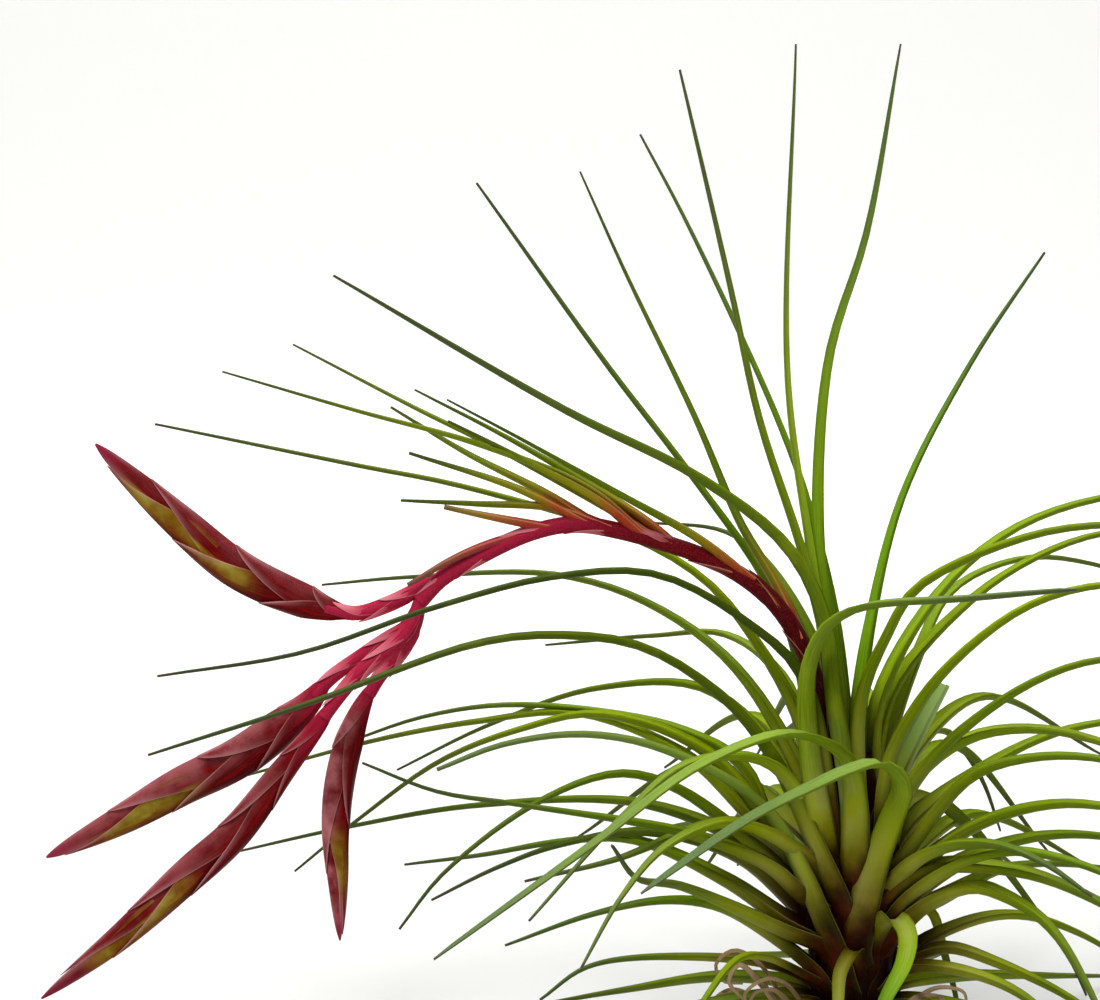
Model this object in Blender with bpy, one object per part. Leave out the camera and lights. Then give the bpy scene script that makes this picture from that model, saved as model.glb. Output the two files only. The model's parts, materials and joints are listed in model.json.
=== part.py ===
# An air plant in flower: a rosette of narrow channelled leaves on a short woody stem, with withered
# leaves round its foot and a leaning red stalk that carries four flat spikes of overlapping bracts.
# Sizes are in millimetres and are turned into metres as the meshes are made.
# +Z is up, the origin is under the stem on the surface that the plant stands on, -Y is the plant's front.

import math
import random

import bmesh
import bpy
from mathutils import Vector

MM = 0.001
GAP = 0.3                    # between pieces that meet

# Stem
STEM_TOP = 8.0               # the bare woody foot ends here and the leafy shoot begins
STEM_FOOT_RADIUS = 7.0
STEM_RADIUS = 6.2
# The shoot is the mass of packed sheaths that every leaf grows out of: (radius, height) pairs up its side
SHOOT = [(7.0, STEM_TOP + GAP), (8.2, 14), (8.4, 26), (7.6, 38), (6.4, 48), (5.2, 57), (3.4, 64)]
ROOT_DEPTH = 2.9             # how deep inside the shoot every leaf starts
CLASP_RISE = 5.2             # height over which a leaf's sheath comes out on the shoot's side
CLASP_LIFT = 0.1             # how far it lies off that side

# Leaves
SHEATH_WIDTH = 7.2
SHEATH_REACH = 36.0          # length over which a sheath narrows to its blade
SHORT_LEAF = 60.0            # a leaf shorter than this has a narrower sheath
BLADE_TAPER = 0.75           # how soon a blade narrows: below 1, mostly near its tip
BLADE_THICK = 0.75
SHEATH_THICK = 1.3
TIP_WIDTH = 0.7
TIP_THICK = 0.6
CHANNEL = 0.24               # depth of the blade's channel as a part of its width
LEAF_STEPS = 9
RULED_STEPS = 6              # of the leaves placed by rule

# Withered leaves
COLLAR_INNER = STEM_FOOT_RADIUS + GAP
COLLAR_OUTER = COLLAR_INNER + 1.3
COLLAR_BOTTOM = 1.6
COLLAR_TOP = 7.4
CURL_WIDTH = 2.4
CURL_THICK = 0.7
CURL_STEPS = 11

# Stalk and spikes
STALK_RADIUS = 1.8
STALK_TAPER = 0.2            # part of its radius that a stalk loses up to its end
BRANCH_RADIUS = 1.5
SWELLING = 0.12              # how much a stalk widens at each step towards a sheathing bract
STALK_SIDES = 7
STALK_STEPS = 20
SPIKE_BREADTH = 4.0          # half of a spike's widest breadth
SPIKE_THICK = 2.1            # half of its thickness
FLORAL_FIRST = -0.28         # where a spike's first bract would start, as a part of the spike's length
FLORAL_SPAN = 0.92           # from the first bract's start to the last one's
FLORAL_LENGTH = 0.44
FLORAL_STEPS = 5
SPIKE_STEPS = 40
BRACT_STEPS = 7              # of the stalk's leaf-like bracts
BRACT_TAPER = 0.8
BRACT_THICK = 0.9

# Leaves placed one by one. Each has the height of its root on the stem, its blade's width, and the points
# that its midrib passes through, from the sheath to the tip.
LEAVES = {
    "upright_1": (42, 2.2, [(-5, 6, 74), (-9, 8, 102), (-14, 13, 140), (-12, 25, 206)]),
    "upright_2": (42, 3.6, [(-3, 5, 74), (-7, 9, 105), (-5, 16, 142), (3, 22, 168), (10, 30, 206)]),
    "upright_3": (42, 3.0, [(-5, 4, 76), (-11, 5, 103), (-20, 8, 131), (-26, 10, 158), (-36, 15, 201)]),
    "upright_4": (42, 2.2, [(-4, 11, 88), (-9, 18, 112), (-15, 24, 129), (-33, 38, 168), (-43, 45, 187)]),
    "upright_5": (42, 2.6, [(-13, 7, 86), (-19, 8, 99), (-34, 11, 120), (-51, 15, 142), (-77, 22, 178)]),
    "upright_6": (38.5, 5.2, [(-3.2, -8, 56), (-6.4, -8, 76), (-9, -7.8, 95), (-16, -9, 108),
                              (-33, -13, 122), (-59, -18, 136), (-103, -25, 163)]),
    "upright_7": (42, 3.0, [(2, 4, 73), (4, 7, 90), (10, 10, 115), (24, 15, 142), (39, 20, 164)]),
    "left_0": (40, 2.4, [(-12, 6, 70), (-23, 9, 89), (-31, 10, 98), (-45, 12, 106), (-80, 17, 116),
                         (-102, 20, 120), (-144, 25, 128)]),
    "left_1": (40, 2.6, [(-12, -8, 81), (-22, -10, 92), (-41, -13, 103), (-61, -15, 103), (-85, -19, 97.5),
                         (-110, -25, 90), (-137, -32, 87)]),
    "left_2": (25, 3.6, [(-4.5, -8, 34), (-9, -8.5, 45), (-18, -10, 65), (-28, -12, 78), (-44, -16, 89),
                         (-61, -19, 92),
                         (-76, -22, 91), (-109, -31, 81), (-138, -40, 73.5)]),
    "left_3": (36, 3.0, [(-12, 7, 59), (-25, 10, 80), (-42, 14, 92), (-61, 17, 97.5), (-91, 23, 96),
                         (-110, 28, 93.5)]),
    "left_4": (30, 2.6, [(-16, 6, 42), (-23, 8, 59), (-35, 10, 66), (-52, 13, 69.5), (-72, 17, 70),
                         (-89, 21, 66.5), (-106, 24, 60)]),
    "left_5": (28, 2.8, [(-14, 2, 40), (-24, 3, 52), (-35, 6, 62), (-56, 13, 69), (-77, 19, 66),
                         (-98, 24, 61), (-128, 32, 51)]),
    "left_6": (30, 2.8, [(-15, 3, 44), (-31, 5, 63), (-52, 8, 70), (-68, 12, 66), (-85, 17, 58),
                         (-102, 20, 45), (-116, 22, 33)]),
    "left_7": (15, 3.2, [(-5.5, -8.5, 24), (-9, -9.5, 33), (-13, -9, 43), (-20, -8, 55), (-39, -11, 67),
                         (-55, -14, 71),
                         (-71, -18, 70), (-84, -22, 66)]),
    "left_8": (26, 2.2, [(-12, -8, 36), (-19, -10, 43), (-36, -14, 51), (-68, -22, 59), (-84, -27, 63),
                         (-98, -32, 70)]),
    "left_9": (24, 2.4, [(-13, 1, 35), (-23, 2, 44), (-43, 8, 51), (-77, 19, 48), (-106, 27, 41),
                         (-129, 34, 34)]),
    "left_10": (26, 2.6, [(-13, -2, 37), (-23, -4, 47), (-37, -6, 58), (-48, -8, 61.5), (-63, -10, 57),
                          (-83, -14, 43), (-92, -16, 32)]),
    "left_11": (20, 2.8, [(-15, -6, 30), (-27, -4, 38), (-45, -2, 46), (-60, 1, 45), (-76, 4, 41.5),
                          (-92, 6, 39)]),
    "left_12": (22, 2.4, [(-13, 0, 32), (-24, -1, 42), (-42, -3, 48), (-60, -3, 45.5), (-73, -4, 41),
                          (-86, -6, 35)]),
    "left_13": (28, 2.4, [(-12, -5, 41), (-25, -8, 51), (-50, -15, 45.5), (-67, -20, 43)]),
    "left_14": (11, 2.4, [(-8.5, -6, 19.5), (-17, -7, 27), (-28, -7, 33.5), (-39, -9, 35.5), (-53, -11, 33.5),
                          (-71, -14, 28)]),
    "left_15": (17, 2.6, [(-8, -7, 25), (-15, -10, 29), (-36, -18, 41), (-45, -22, 44), (-50, -26, 52)]),
    "left_16": (28, 2.2, [(-9, -7, 41), (-25, -15, 53), (-39, -24, 51), (-48, -31, 43), (-56, -38, 31)]),
    "left_17": (14, 1.6, [(-14, -5, 20), (-32, -8, 23.5), (-54, -12, 23), (-64, -15, 17)]),
    "left_18": (14, 1.8, [(-10, -9, 20), (-24, -22, 28), (-33, -30, 20), (-42, -38, 8), (-45, -41, 0.7)]),
    "rear_1": (36, 2.6, [(-9, 10, 58), (-14, 18, 75), (-25, 31, 82), (-40, 40, 80), (-63, 50, 76)]),
    "rear_2": (32, 2.6, [(-13, 8, 56), (-29, 16, 73), (-52, 24, 72), (-75, 31, 62.5), (-95, 38, 51)]),
    "rear_3": (40, 2.4, [(-6, 11, 78), (-16, 22, 98), (-25, 32, 104), (-41, 45, 104)]),
    "rear_4": (30, 2.6, [(8, 8, 44), (15, 13, 50.5), (25, 20, 43.6), (33, 26, 34), (42, 31, 22),
                         (51, 35, 9), (55, 37, 0.7)]),
    "rear_5": (30, 2.4, [(4, 8, 45), (12, 24, 58), (22, 36, 60), (27, 42, 55), (33, 48, 45.5), (38, 54, 33)]),
    "front_1": (38, 5.0, [(-7, -9, 50), (-10, -11.5, 73), (-10.2, -13, 84.5), (-7.6, -15.5, 92.5),
                          (-3.5, -18, 96.5), (1, -21, 98.5), (17, -30, 101.5), (37, -38, 105)]),
    "front_2": (17, 5.0, [(-1.5, -8.5, 27), (1.5, -11.5, 43), (5, -14, 54), (7, -16, 61), (3, -20, 66.5),
                          (-4, -24, 66),
                          (-11, -28, 64), (-24, -37, 60), (-45, -52, 50)]),
    "front_3": (32, 4.0, [(-1, -8, 44), (-1, -11, 57), (-4, -15, 66), (-15, -26, 74), (-34, -40, 71),
                          (-53, -52, 60), (-69, -62, 51), (-83, -70, 43)]),
    "front_4": (32, 2.6, [(-8, -6, 46), (-19, -14, 65), (-35, -22, 67), (-46, -28, 60), (-66, -40, 41)]),
    "front_5": (16, 4.0, [(2, -8, 24), (6, -14, 33), (9, -18, 31.5), (8, -21, 26), (4, -25, 20), (-2, -31, 8),
                          (-5, -34, 0.8)]),
    "front_6": (14, 1.8, [(0, -9, 20), (-1, -13, 26), (-4, -17, 23), (-4.5, -19, 18.7), (-5, -22, 10)]),
    "right_1": (40, 3.4, [(5, 3, 70), (10, 5, 84), (20, 8, 98), (33, 11, 108), (51, 16, 113.5), (78, 24, 114),
                          (108, 33, 107)]),
    "right_2": (41, 3.4, [(1, -4, 75), (6, -5.5, 90), (11, -7, 99), (30, -11, 109.5), (46, -14, 113),
                          (75, -20, 112), (102, -26, 103)]),
    "right_3": (38, 2.6, [(8, 8, 64), (14, 14, 80), (22, 24, 92.5), (38, 33, 98), (56, 42, 95), (85, 56, 82)]),
    "right_4": (38, 3.0, [(6, 6, 66), (10, 9, 77), (25, 16, 92), (38, 22, 99.5), (53, 28, 104), (80, 38, 104),
                          (104, 46, 97)]),
    "right_5": (36, 3.2, [(7, -5, 63), (13, -7, 77), (22, -9, 88), (33, -11, 96.5), (46, -14, 101),
                          (72, -20, 101), (98, -27, 91)]),
    "right_6": (34, 3.6, [(9, 4, 55), (13, 6, 64), (19.5, 9, 76)]),
    "right_7": (32, 2.8, [(6, -6, 46), (10, -8, 57), (18, -11, 69), (33, -16, 82), (46, -20, 87.5),
                          (70, -28, 88), (94, -36, 78)]),
    "right_8": (30, 3.6, [(8, -5, 48), (12, -6.5, 60), (22, -8, 68.5), (34, -10, 71), (47, -12, 69),
                          (70, -16, 60), (88, -20, 47)]),
    "right_9": (26, 2.8, [(8, 3, 38), (13, 5, 47.5), (29, 9, 59), (40, 12, 64), (52, 15, 66.5), (78, 22, 66),
                          (103, 29, 56)]),
    "right_10": (26, 2.8, [(7, -7, 38), (12, -9, 48), (22, -13, 62), (32, -16, 66.5), (46, -20, 67.5),
                           (70, -27, 61), (90, -33, 49)]),
    "right_11": (24, 3.0, [(8, -6, 34), (13, -8, 42), (22, -11, 50.5), (34, -14, 56), (46, -18, 57.5),
                           (70, -25, 52), (92, -32, 38)]),
    "right_12": (20, 2.6, [(7, 2, 26), (13, 4, 32), (25, 8, 39), (38, 12, 42.5), (53, 16, 42), (78, 23, 34),
                           (98, 30, 20)]),
    "right_13": (20, 2.4, [(7, -6, 28), (11, -9, 36), (21, -17, 46), (30, -21, 49), (45, -28, 47),
                           (64, -36, 37), (78, -43, 24)]),
    "right_14": (22, 2.4, [(6, -7, 34), (13, -14, 46), (24, -23, 51), (33, -30, 49.6), (42, -36, 44.6)]),
    "right_15": (24, 3.4, [(7, -7, 35), (15, -10, 42), (22, -12, 43), (34, -16, 42.5), (47, -20, 38),
                           (66, -26, 27), (80, -31, 14)]),
    "right_16": (18, 2.8, [(8, -6, 26), (14, -9, 34), (22, -12, 38.7), (27, -15, 38.4), (36, -19, 33.6),
                           (45, -24, 20), (52, -29, 0.8)]),
    "right_17": (13, 2.2, [(9, 2, 17), (14, 4, 21.6), (25, 7, 26), (33, 9, 27), (41, 11, 25.4), (53, 14, 19.5),
                           (66, 18, 9), (74, 21, 0.7)]),
    "right_18": (12, 2.2, [(8, -1, 17), (13, -2, 21.4), (19, -3, 23.5), (29, -5, 21), (43, -8, 15),
                           (58, -12, 5), (64, -14, 0.8)]),
    "right_19": (12, 2.0, [(7, -6, 16), (10, -9, 21), (20, -15, 22.6), (32, -20, 19), (44, -26, 8),
                           (50, -29, 0.8)]),
    "right_20": (14, 1.6, [(6, 5, 20), (13, 11, 28), (17.5, 15, 26), (21, 18, 16), (24, 20, 6), (25, 21, 0.8)]),
}
BLUNT_LEAVES = {"right_6": 0.75, "left_7": 0.3}      # snapped leaves, with their end's width as part of the blade's
RIBBON_LEAVES = {"front_1": 0.42, "front_2": 0.42, "front_3": 0.5}   # leaves that stay broad almost to their tips

# Leaves placed by rule: those that lean back, out of the front view, and a low tier that the plant sits down on
REAR_COUNT = 15
REAR_BLADE = 2.8
REAR_FROM, REAR_TO = 38.0, 140.0
LOW_COUNT = 9
LOW_BLADE = 2.4
LOW_TURN = -14.0              # turns the low tier so that the withered leaves curl between its leaves
SEED = 11

# The stalk's line from the shoot's top to the fork, and the leaf-like bracts that leave it on the upper side:
# each one's width at its foot and its points.
STALK = [(-3, -0.8, 58), (-5, -1.2, 66), (-8, -2, 78), (-12, -3, 88), (-18, -3, 96.5), (-25, -3, 102),
         (-32, -3, 105.3), (-40, -3, 108), (-48, -3, 110.2), (-57, -3, 111.6), (-66, -3, 109.8), (-78, -3, 104),
         (-84, -3, 100.3), (-88, -3, 96)]
STALK_BRACTS = {
    "bract_1": (3.4, [(-12, -3, 88), (-17, 0, 99), (-24, 1, 111), (-33, 3, 132), (-47, 6, 161), (-56, 8, 181)]),
    "bract_2": (3.0, [(-38, -3, 107), (-50, -1, 114), (-73, 4, 126), (-88, 7, 133), (-114, 12, 146)]),
    "bract_3": (3.0, [(-42, -3, 108), (-55, -4, 119), (-76, -6, 128), (-100, -8, 135), (-126, -10, 143)]),
    "bract_4": (3.0, [(-36, -3, 106), (-44, -1, 112.5), (-68, 1, 127), (-89, 2, 138)]),
    "bract_5": (3.4, [(-22, -3, 100), (-32, -5, 108.5), (-47, -7, 117.5), (-68, -11, 130), (-82, -14, 138)]),
    "bract_6": (3.0, [(-52, -3, 110.5), (-63, 1, 117), (-79, 4, 125), (-94, 6, 134)]),
    "bract_7": (3.2, [(-44, -3, 109), (-53, -5, 117), (-71, -6, 127), (-82, -8, 133)]),
    "bract_8": (2.8, [(-54, -3, 111), (-68, -3, 118.5), (-90, -3, 126)]),
    "bract_9": (3.0, [(-50, -3, 110.5), (-61, -2, 114.5), (-76, 1, 115), (-92, 3, 115.5)]),
    "bract_10": (3.0, [(-62, -3, 110.5), (-72, -5, 113), (-83, -5, 115.5)]),
    "bract_11": (2.8, [(-68, -3, 109.2), (-76, -4.4, 107), (-82, -5, 104.5), (-90.4, -5.5, 99.8)]),
}

# Each branch runs from the stalk to its spike, and each spike from the branch to the spike's tip.
# A spike has its size and the part of its length over which its foot widens before its points.
BRANCHES = {
    "spike_1": [(-84, -3, 100.3), (-88, -2.6, 98.4), (-95, -2.4, 95), (-101, -2.1, 93.2)],
    "spike_2": [(-88, -3, 96), (-90, -1.5, 91), (-95, -0.5, 87.5), (-100, 0, 84), (-106, 0.6, 79.6)],
    "spike_3": [(-88, -3, 96), (-90.5, -4, 90), (-95, -5, 86), (-100, -6, 82), (-104.6, -6.4, 76.6)],
    "spike_4": [(-88, -3, 96), (-89, -1.6, 91), (-91.4, 0, 86), (-94, 1, 82.4), (-96.4, 1, 79.6)],
}
SPIKES = {
    "spike_1": (1.0, 0.15, [(-102, -2, 92.8), (-112, 0, 95.7), (-125, 1, 101.8), (-136, 3, 110.6), (-146, 4, 119.6),
                      (-153.4, 5, 126.6)]),
    "spike_2": (1.05, 0.2, [(-106.6, 0.7, 79.1), (-112.5, 2, 72.5), (-125, 3, 62.6), (-138, 5, 55.6),
                            (-150, 6, 48.5),
                       (-166, 8, 40)]),
    "spike_3": (0.92, 0.5, [(-105, -6.4, 76.1), (-109.4, -6.6, 70), (-116, -7, 61.6), (-125, -9, 50),
                            (-135, -11, 41.2),
                      (-147, -12, 30.2), (-164, -14, 17)]),
    "spike_4": (0.76, 0.25, [(-96.8, 1, 79.1), (-100.3, 1, 73), (-103.4, 1, 64), (-105.2, 1, 55),
                             (-105.7, 0.5, 46.5),
                             (-105.3, 0, 38), (-104.9, -1, 25)]),
}
SPIKE_BRACTS = {"spike_1": 7, "spike_2": 7, "spike_3": 8, "spike_4": 6}

# Withered leaves: the points that each follows from the collar round the stem's foot.
CURLS = [
    [(-7.1, -3.5, 5), (-14, -7, 11), (-20, -12, 20), (-24, -14, 24), (-26, -13, 20), (-23, -12, 16)],
    [(-3.3, -7.2, 5), (-6, -14, 9), (-9, -20, 15), (-12, -23, 13), (-11, -21, 9)],
    [(-7.7, 1.8, 4), (-16, 4, 8), (-24, 6, 12), (-28, 7, 9), (-26, 6, 6)],
    [(6.7, -4.3, 5), (13, -9, 11), (19, -12, 15), (23, -14, 13), (22, -13, 9)],
    [(0.9, 7.8, 4), (1, 16, 9), (2, 24, 11), (-1, 28, 8), (-2, 26, 5)],
    [(7.8, 0.9, 4), (16, 2, 9), (22, 2, 9), (26, 3, 5.5), (24, 3, 3)],
]


def clear_scene():
    for obj in list(bpy.data.objects):
        bpy.data.objects.remove(obj)


def make_material(name, colour, roughness):
    material = bpy.data.materials.new(name)
    material.use_nodes = True
    shader = material.node_tree.nodes["Principled BSDF"]
    shader.inputs["Base Color"].default_value = (*colour, 1.0)
    shader.inputs["Roughness"].default_value = roughness
    material.diffuse_color = (*colour, 1.0)
    return material


def smooth_path(points, steps, crowd=1.0):
    """Points at even lengths along a smooth curve through the given ones; crowd above 1 packs them to the start."""
    given = [Vector(p) for p in points]
    given = [given[0] * 2 - given[1]] + given + [given[-1] * 2 - given[-2]]
    fine = []
    for before, start, end, after in zip(given, given[1:], given[2:], given[3:]):
        for i in range(12):
            fine.append(catmull(before, start, end, after, i / 12))
    fine.append(given[-2])
    lengths = [0.0]
    for a, b in zip(fine, fine[1:]):
        lengths.append(lengths[-1] + (b - a).length)
    path, k = [], 0
    for i in range(steps + 1):
        target = lengths[-1] * (i / steps) ** crowd
        while k < len(fine) - 2 and lengths[k + 1] < target:
            k += 1
        t = (target - lengths[k]) / (lengths[k + 1] - lengths[k])
        path.append(fine[k].lerp(fine[k + 1], min(max(t, 0.0), 1.0)))
    return path


def catmull(p0, p1, p2, p3, t):
    """A point on the centripetal Catmull-Rom curve between p1 and p2."""
    t0 = 0.0
    t1 = t0 + math.sqrt((p1 - p0).length)
    t2 = t1 + math.sqrt((p2 - p1).length)
    t3 = t2 + math.sqrt((p3 - p2).length)
    u = t1 + (t2 - t1) * t
    a1 = p0 * ((t1 - u) / (t1 - t0)) + p1 * ((u - t0) / (t1 - t0))
    a2 = p1 * ((t2 - u) / (t2 - t1)) + p2 * ((u - t1) / (t2 - t1))
    a3 = p2 * ((t3 - u) / (t3 - t2)) + p3 * ((u - t2) / (t3 - t2))
    b1 = a1 * ((t2 - u) / (t2 - t0)) + a2 * ((u - t0) / (t2 - t0))
    b2 = a2 * ((t3 - u) / (t3 - t1)) + a3 * ((u - t1) / (t3 - t1))
    return b1 * ((t2 - u) / (t2 - t1)) + b2 * ((u - t1) / (t2 - t1))


def tangents(path):
    """The direction of a path at each of its points."""
    last = len(path) - 1
    return [(path[min(i + 1, last)] - path[max(i - 1, 0)]).normalized() for i in range(last + 1)]


def skin(rings):
    """A closed mesh through rings of points, split into triangles alike on all sides, with its faces out."""
    mesh = bpy.data.meshes.new("skin")
    count = len(rings[0])
    vertices = [tuple(p * MM) for ring in rings for p in ring]
    faces = []
    for i in range(len(rings) - 1):
        for j in range(count):
            a, b = i * count + j, i * count + (j + 1) % count
            c, d = b + count, a + count
            if j < count / 2:
                faces += [(a, b, c), (a, c, d)]
            else:
                faces += [(a, b, d), (b, c, d)]
    for k in range(1, count - 1):
        faces.append((0, k + 1, k))
        top = (len(rings) - 1) * count
        faces.append((top, top + k, top + k + 1))
    mesh.from_pydata(vertices, [], faces)
    work = bmesh.new()
    work.from_mesh(mesh)
    bmesh.ops.recalc_face_normals(work, faces=work.faces)
    work.to_mesh(mesh)
    work.free()
    return mesh


def add_object(name, mesh, material=None):
    obj = bpy.data.objects.new(name, mesh)
    bpy.context.scene.collection.objects.link(obj)
    if material:
        mesh.materials.clear()
        mesh.materials.append(material)
    return obj


def blade_rings(path, widths, thicks, side):
    """Four-cornered rings of a channelled blade: an edge, the keel below, the other edge, the channel's floor."""
    rings = []
    for point, along, width, thick in zip(path, tangents(path), widths, thicks):
        across = (side - along * side.dot(along)).normalized()
        up = along.cross(across)
        rise = CHANNEL * width
        rings.append([point - across * width / 2 + up * rise, point - up * thick * 0.6,
                      point + across * width / 2 + up * rise, point + up * thick * 0.4])
    return rings


def leaf_widths(path, blade, end_width, power):
    """Width and thickness at each point of a leaf: a broad sheath that narrows to a blade with a needle point."""
    lengths = [0.0]
    for a, b in zip(path, path[1:]):
        lengths.append(lengths[-1] + (b - a).length)
    widths, thicks = [], []
    for length in lengths:
        sheath = math.exp(-(length / SHEATH_REACH) ** 2)
        taper = (1 - length / lengths[-1]) ** power
        width = end_width + (blade - end_width) * taper
        widths.append(width + (SHEATH_WIDTH - width) * sheath * min(1.0, lengths[-1] / SHORT_LEAF))
        thicks.append(TIP_THICK + (BLADE_THICK - TIP_THICK) * taper + (SHEATH_THICK - BLADE_THICK) * sheath)
    return widths, thicks


def shoot_radius(height):
    for (low_radius, low), (high_radius, high) in zip(SHOOT, SHOOT[1:]):
        if height <= high:
            return low_radius + (high_radius - low_radius) * max(height - low, 0.0) / (high - low)
    return SHOOT[-1][0]


def leaf_mesh(root_height, blade, points, end_width=TIP_WIDTH, power=BLADE_TAPER, steps=LEAF_STEPS):
    first = Vector(points[0])
    outward = Vector((first.x, first.y, 0)).normalized()
    root = outward * (shoot_radius(root_height) - ROOT_DEPTH) + Vector((0, 0, root_height))
    clasp = root_height + CLASP_RISE
    given = [root] + points
    if first.z > clasp + 2:
        given.insert(1, outward * (shoot_radius(clasp) + CLASP_LIFT) + Vector((0, 0, clasp)))
    path = smooth_path(given, steps, 1.15)
    widths, thicks = leaf_widths(path, blade, end_width, power)
    lean = Vector((points[-1][0], points[-1][1], 0)) - root
    side = Vector((0, 0, 1)).cross(lean).normalized()
    return skin(blade_rings(path, widths, thicks, side))


def polar(radius, degrees, height):
    angle = math.radians(degrees)
    return (radius * math.cos(angle), radius * math.sin(angle), height)


def rear_leaves(draw):
    """Leaves that rise behind the stem and arch away, in the order that they spiral up it."""
    leaves = []
    for i in range(REAR_COUNT):
        turn = REAR_FROM + (REAR_TO - REAR_FROM) * ((i * 0.618) % 1.0)
        rank = i / (REAR_COUNT - 1)
        root = 16 + 22 * rank
        crest = 32 + 38 * rank + draw.uniform(-3, 3)
        reach = 92 - 16 * rank + draw.uniform(-8, 8)
        drop = crest * draw.uniform(0.35, 0.75)
        sway = draw.uniform(-8, 8)
        leaves.append((root, REAR_BLADE, [polar(9, turn, root + 12), polar(reach * 0.22, turn, crest * 0.86),
                                          polar(reach * 0.5, turn + sway * 0.4, crest),
                                          polar(reach, turn + sway, drop)]))
    return leaves


def low_leaves(draw):
    """The lowest leaves spread flat and touch the surface with their tips."""
    leaves = []
    for i in range(LOW_COUNT):
        turn = 360.0 * i / LOW_COUNT + LOW_TURN + draw.uniform(-6, 6)
        reach = 78 + draw.uniform(-9, 9)
        leaves.append((10.5, LOW_BLADE, [polar(11, turn, 12.5), polar(30, turn, 11.5),
                                         polar(reach * 0.72, turn + 3, 6), polar(reach, turn + 6, 0.7)]))
    return leaves


def turned(name, profile, sides):
    """A closed solid of revolution round the Z axis from (radius, height) pairs, bottom to top."""
    rings = [[Vector(polar(radius, 360.0 * j / sides, height)) for j in range(sides)]
             for radius, height in profile]
    return add_object(name, skin(rings))


def unite(base, meshes, name):
    """Joins the meshes to the base object with one Boolean union and applies it."""
    group = bpy.data.collections.new(name + "_repeats")
    bpy.context.scene.collection.children.link(group)
    for i, mesh in enumerate(meshes):
        group.objects.link(bpy.data.objects.new(f"{name}_repeat_{i}", mesh))
    union = base.modifiers.new("union", "BOOLEAN")
    union.operation = "UNION"
    union.operand_type = "COLLECTION"
    union.collection = group
    union.solver = "MANIFOLD"
    apply_modifiers(base)
    for obj in list(group.objects):
        bpy.data.objects.remove(obj)
    bpy.data.collections.remove(group)


def apply_modifiers(obj):
    bpy.context.view_layer.update()
    evaluated = obj.evaluated_get(bpy.context.evaluated_depsgraph_get())
    mesh = bpy.data.meshes.new_from_object(evaluated)
    obj.modifiers.clear()
    obj.data = mesh


def cut(obj, mesh):
    """Cuts the room for a neighbour out of an object."""
    cutter = add_object("cutter", mesh)
    difference = obj.modifiers.new("cut", "BOOLEAN")
    difference.operation = "DIFFERENCE"
    difference.object = cutter
    difference.solver = "MANIFOLD"
    apply_modifiers(obj)
    bpy.data.objects.remove(cutter)


def keep_largest(obj):
    """Keeps the largest shell and drops the scraps that a cut leaves and the hollows that a union seals."""
    work = bmesh.new()
    work.from_mesh(obj.data)
    bmesh.ops.triangulate(work, faces=work.faces)
    left, islands = set(work.faces), []
    while left:
        edge = [left.pop()]
        island = set(edge)
        while edge:
            face = edge.pop()
            for border in face.edges:
                if len(border.link_faces) == 2:      # not where a hollow only touches the outer shell
                    for other in border.link_faces:
                        if other in left:
                            left.discard(other)
                            island.add(other)
                            edge.append(other)
        islands.append(island)
    islands.sort(key=len)
    for island in islands[:-1]:
        bmesh.ops.delete(work, geom=list(island), context="FACES")
    work.to_mesh(obj.data)
    work.free()


def tube_mesh(path, radii, sides):
    rings, across = [], None
    for point, along, radius in zip(path, tangents(path), radii):
        if across is None:
            across = along.cross(Vector((0, 1, 0))).normalized()
        across = (across - along * across.dot(along)).normalized()
        other = along.cross(across)
        rings.append([point + across * radius * math.cos(2 * math.pi * j / sides)
                      + other * radius * math.sin(2 * math.pi * j / sides) for j in range(sides)])
    return skin(rings)


def stalk_mesh(points, radius, steps, taper=0.0, extra=0.0):
    """A round stalk, slightly swollen at each of its sheathing bracts."""
    path = smooth_path(points, steps)
    radii = [radius * (1 - taper * i / steps) * (1 + SWELLING * (i % 3)) + extra for i in range(len(path))]
    return tube_mesh(path, radii, STALK_SIDES)


def spike_bract(path, broad, thin, start, end, hand, size, foot):
    """One folded bract: its keel follows the spike's margin and its inner edge crosses to it slantwise."""
    rings = []
    last = len(path) - 1
    for i in range(FLORAL_STEPS + 1):
        v = i / FLORAL_STEPS
        s = start + v * (end - start)
        k = min(int(s * last), last - 1)
        point = path[k].lerp(path[k + 1], s * last - k)
        outline = spike_outline(s, foot)
        breadth = SPIKE_BREADTH * size * outline
        thick = SPIKE_THICK * size * (0.25 + 0.75 * outline) * (0.72 + 0.4 * v)
        outer = breadth * (1.0 + 0.1 * v)
        inner = breadth * (-0.85 + 1.8 * v ** 1.5)
        if i == FLORAL_STEPS:
            edge = breadth * 1.08 if end < 1 else 0.0      # the last bract ends on the spike's own line
            outer, inner, thick = edge + 0.35, edge - 0.35, 0.35
        if i == 0:
            outer, inner, thick = breadth * 0.6, -breadth * 0.6, thick * 0.7
        middle = inner + (outer - inner) * 0.45
        b, t = broad[k] * hand, thin[k]
        ring = [point + b * outer, point + b * middle + t * thick, point + b * inner + t * thick * 0.55,
                point + b * inner - t * thick * 0.55, point + b * middle - t * thick]
        rings.append(ring if hand > 0 else ring[::-1])
    return skin(rings)


def spike_outline(s, foot):
    """Half breadth along a spike, from its narrow foot to 1 at its widest and down to its point."""
    widened = 0.55 + 0.45 * min(1.0, s / foot)
    return max(0.12, widened * math.sin(math.pi * min(1.0, 0.14 + 0.86 * s) ** 0.93) ** 0.6)


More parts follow.
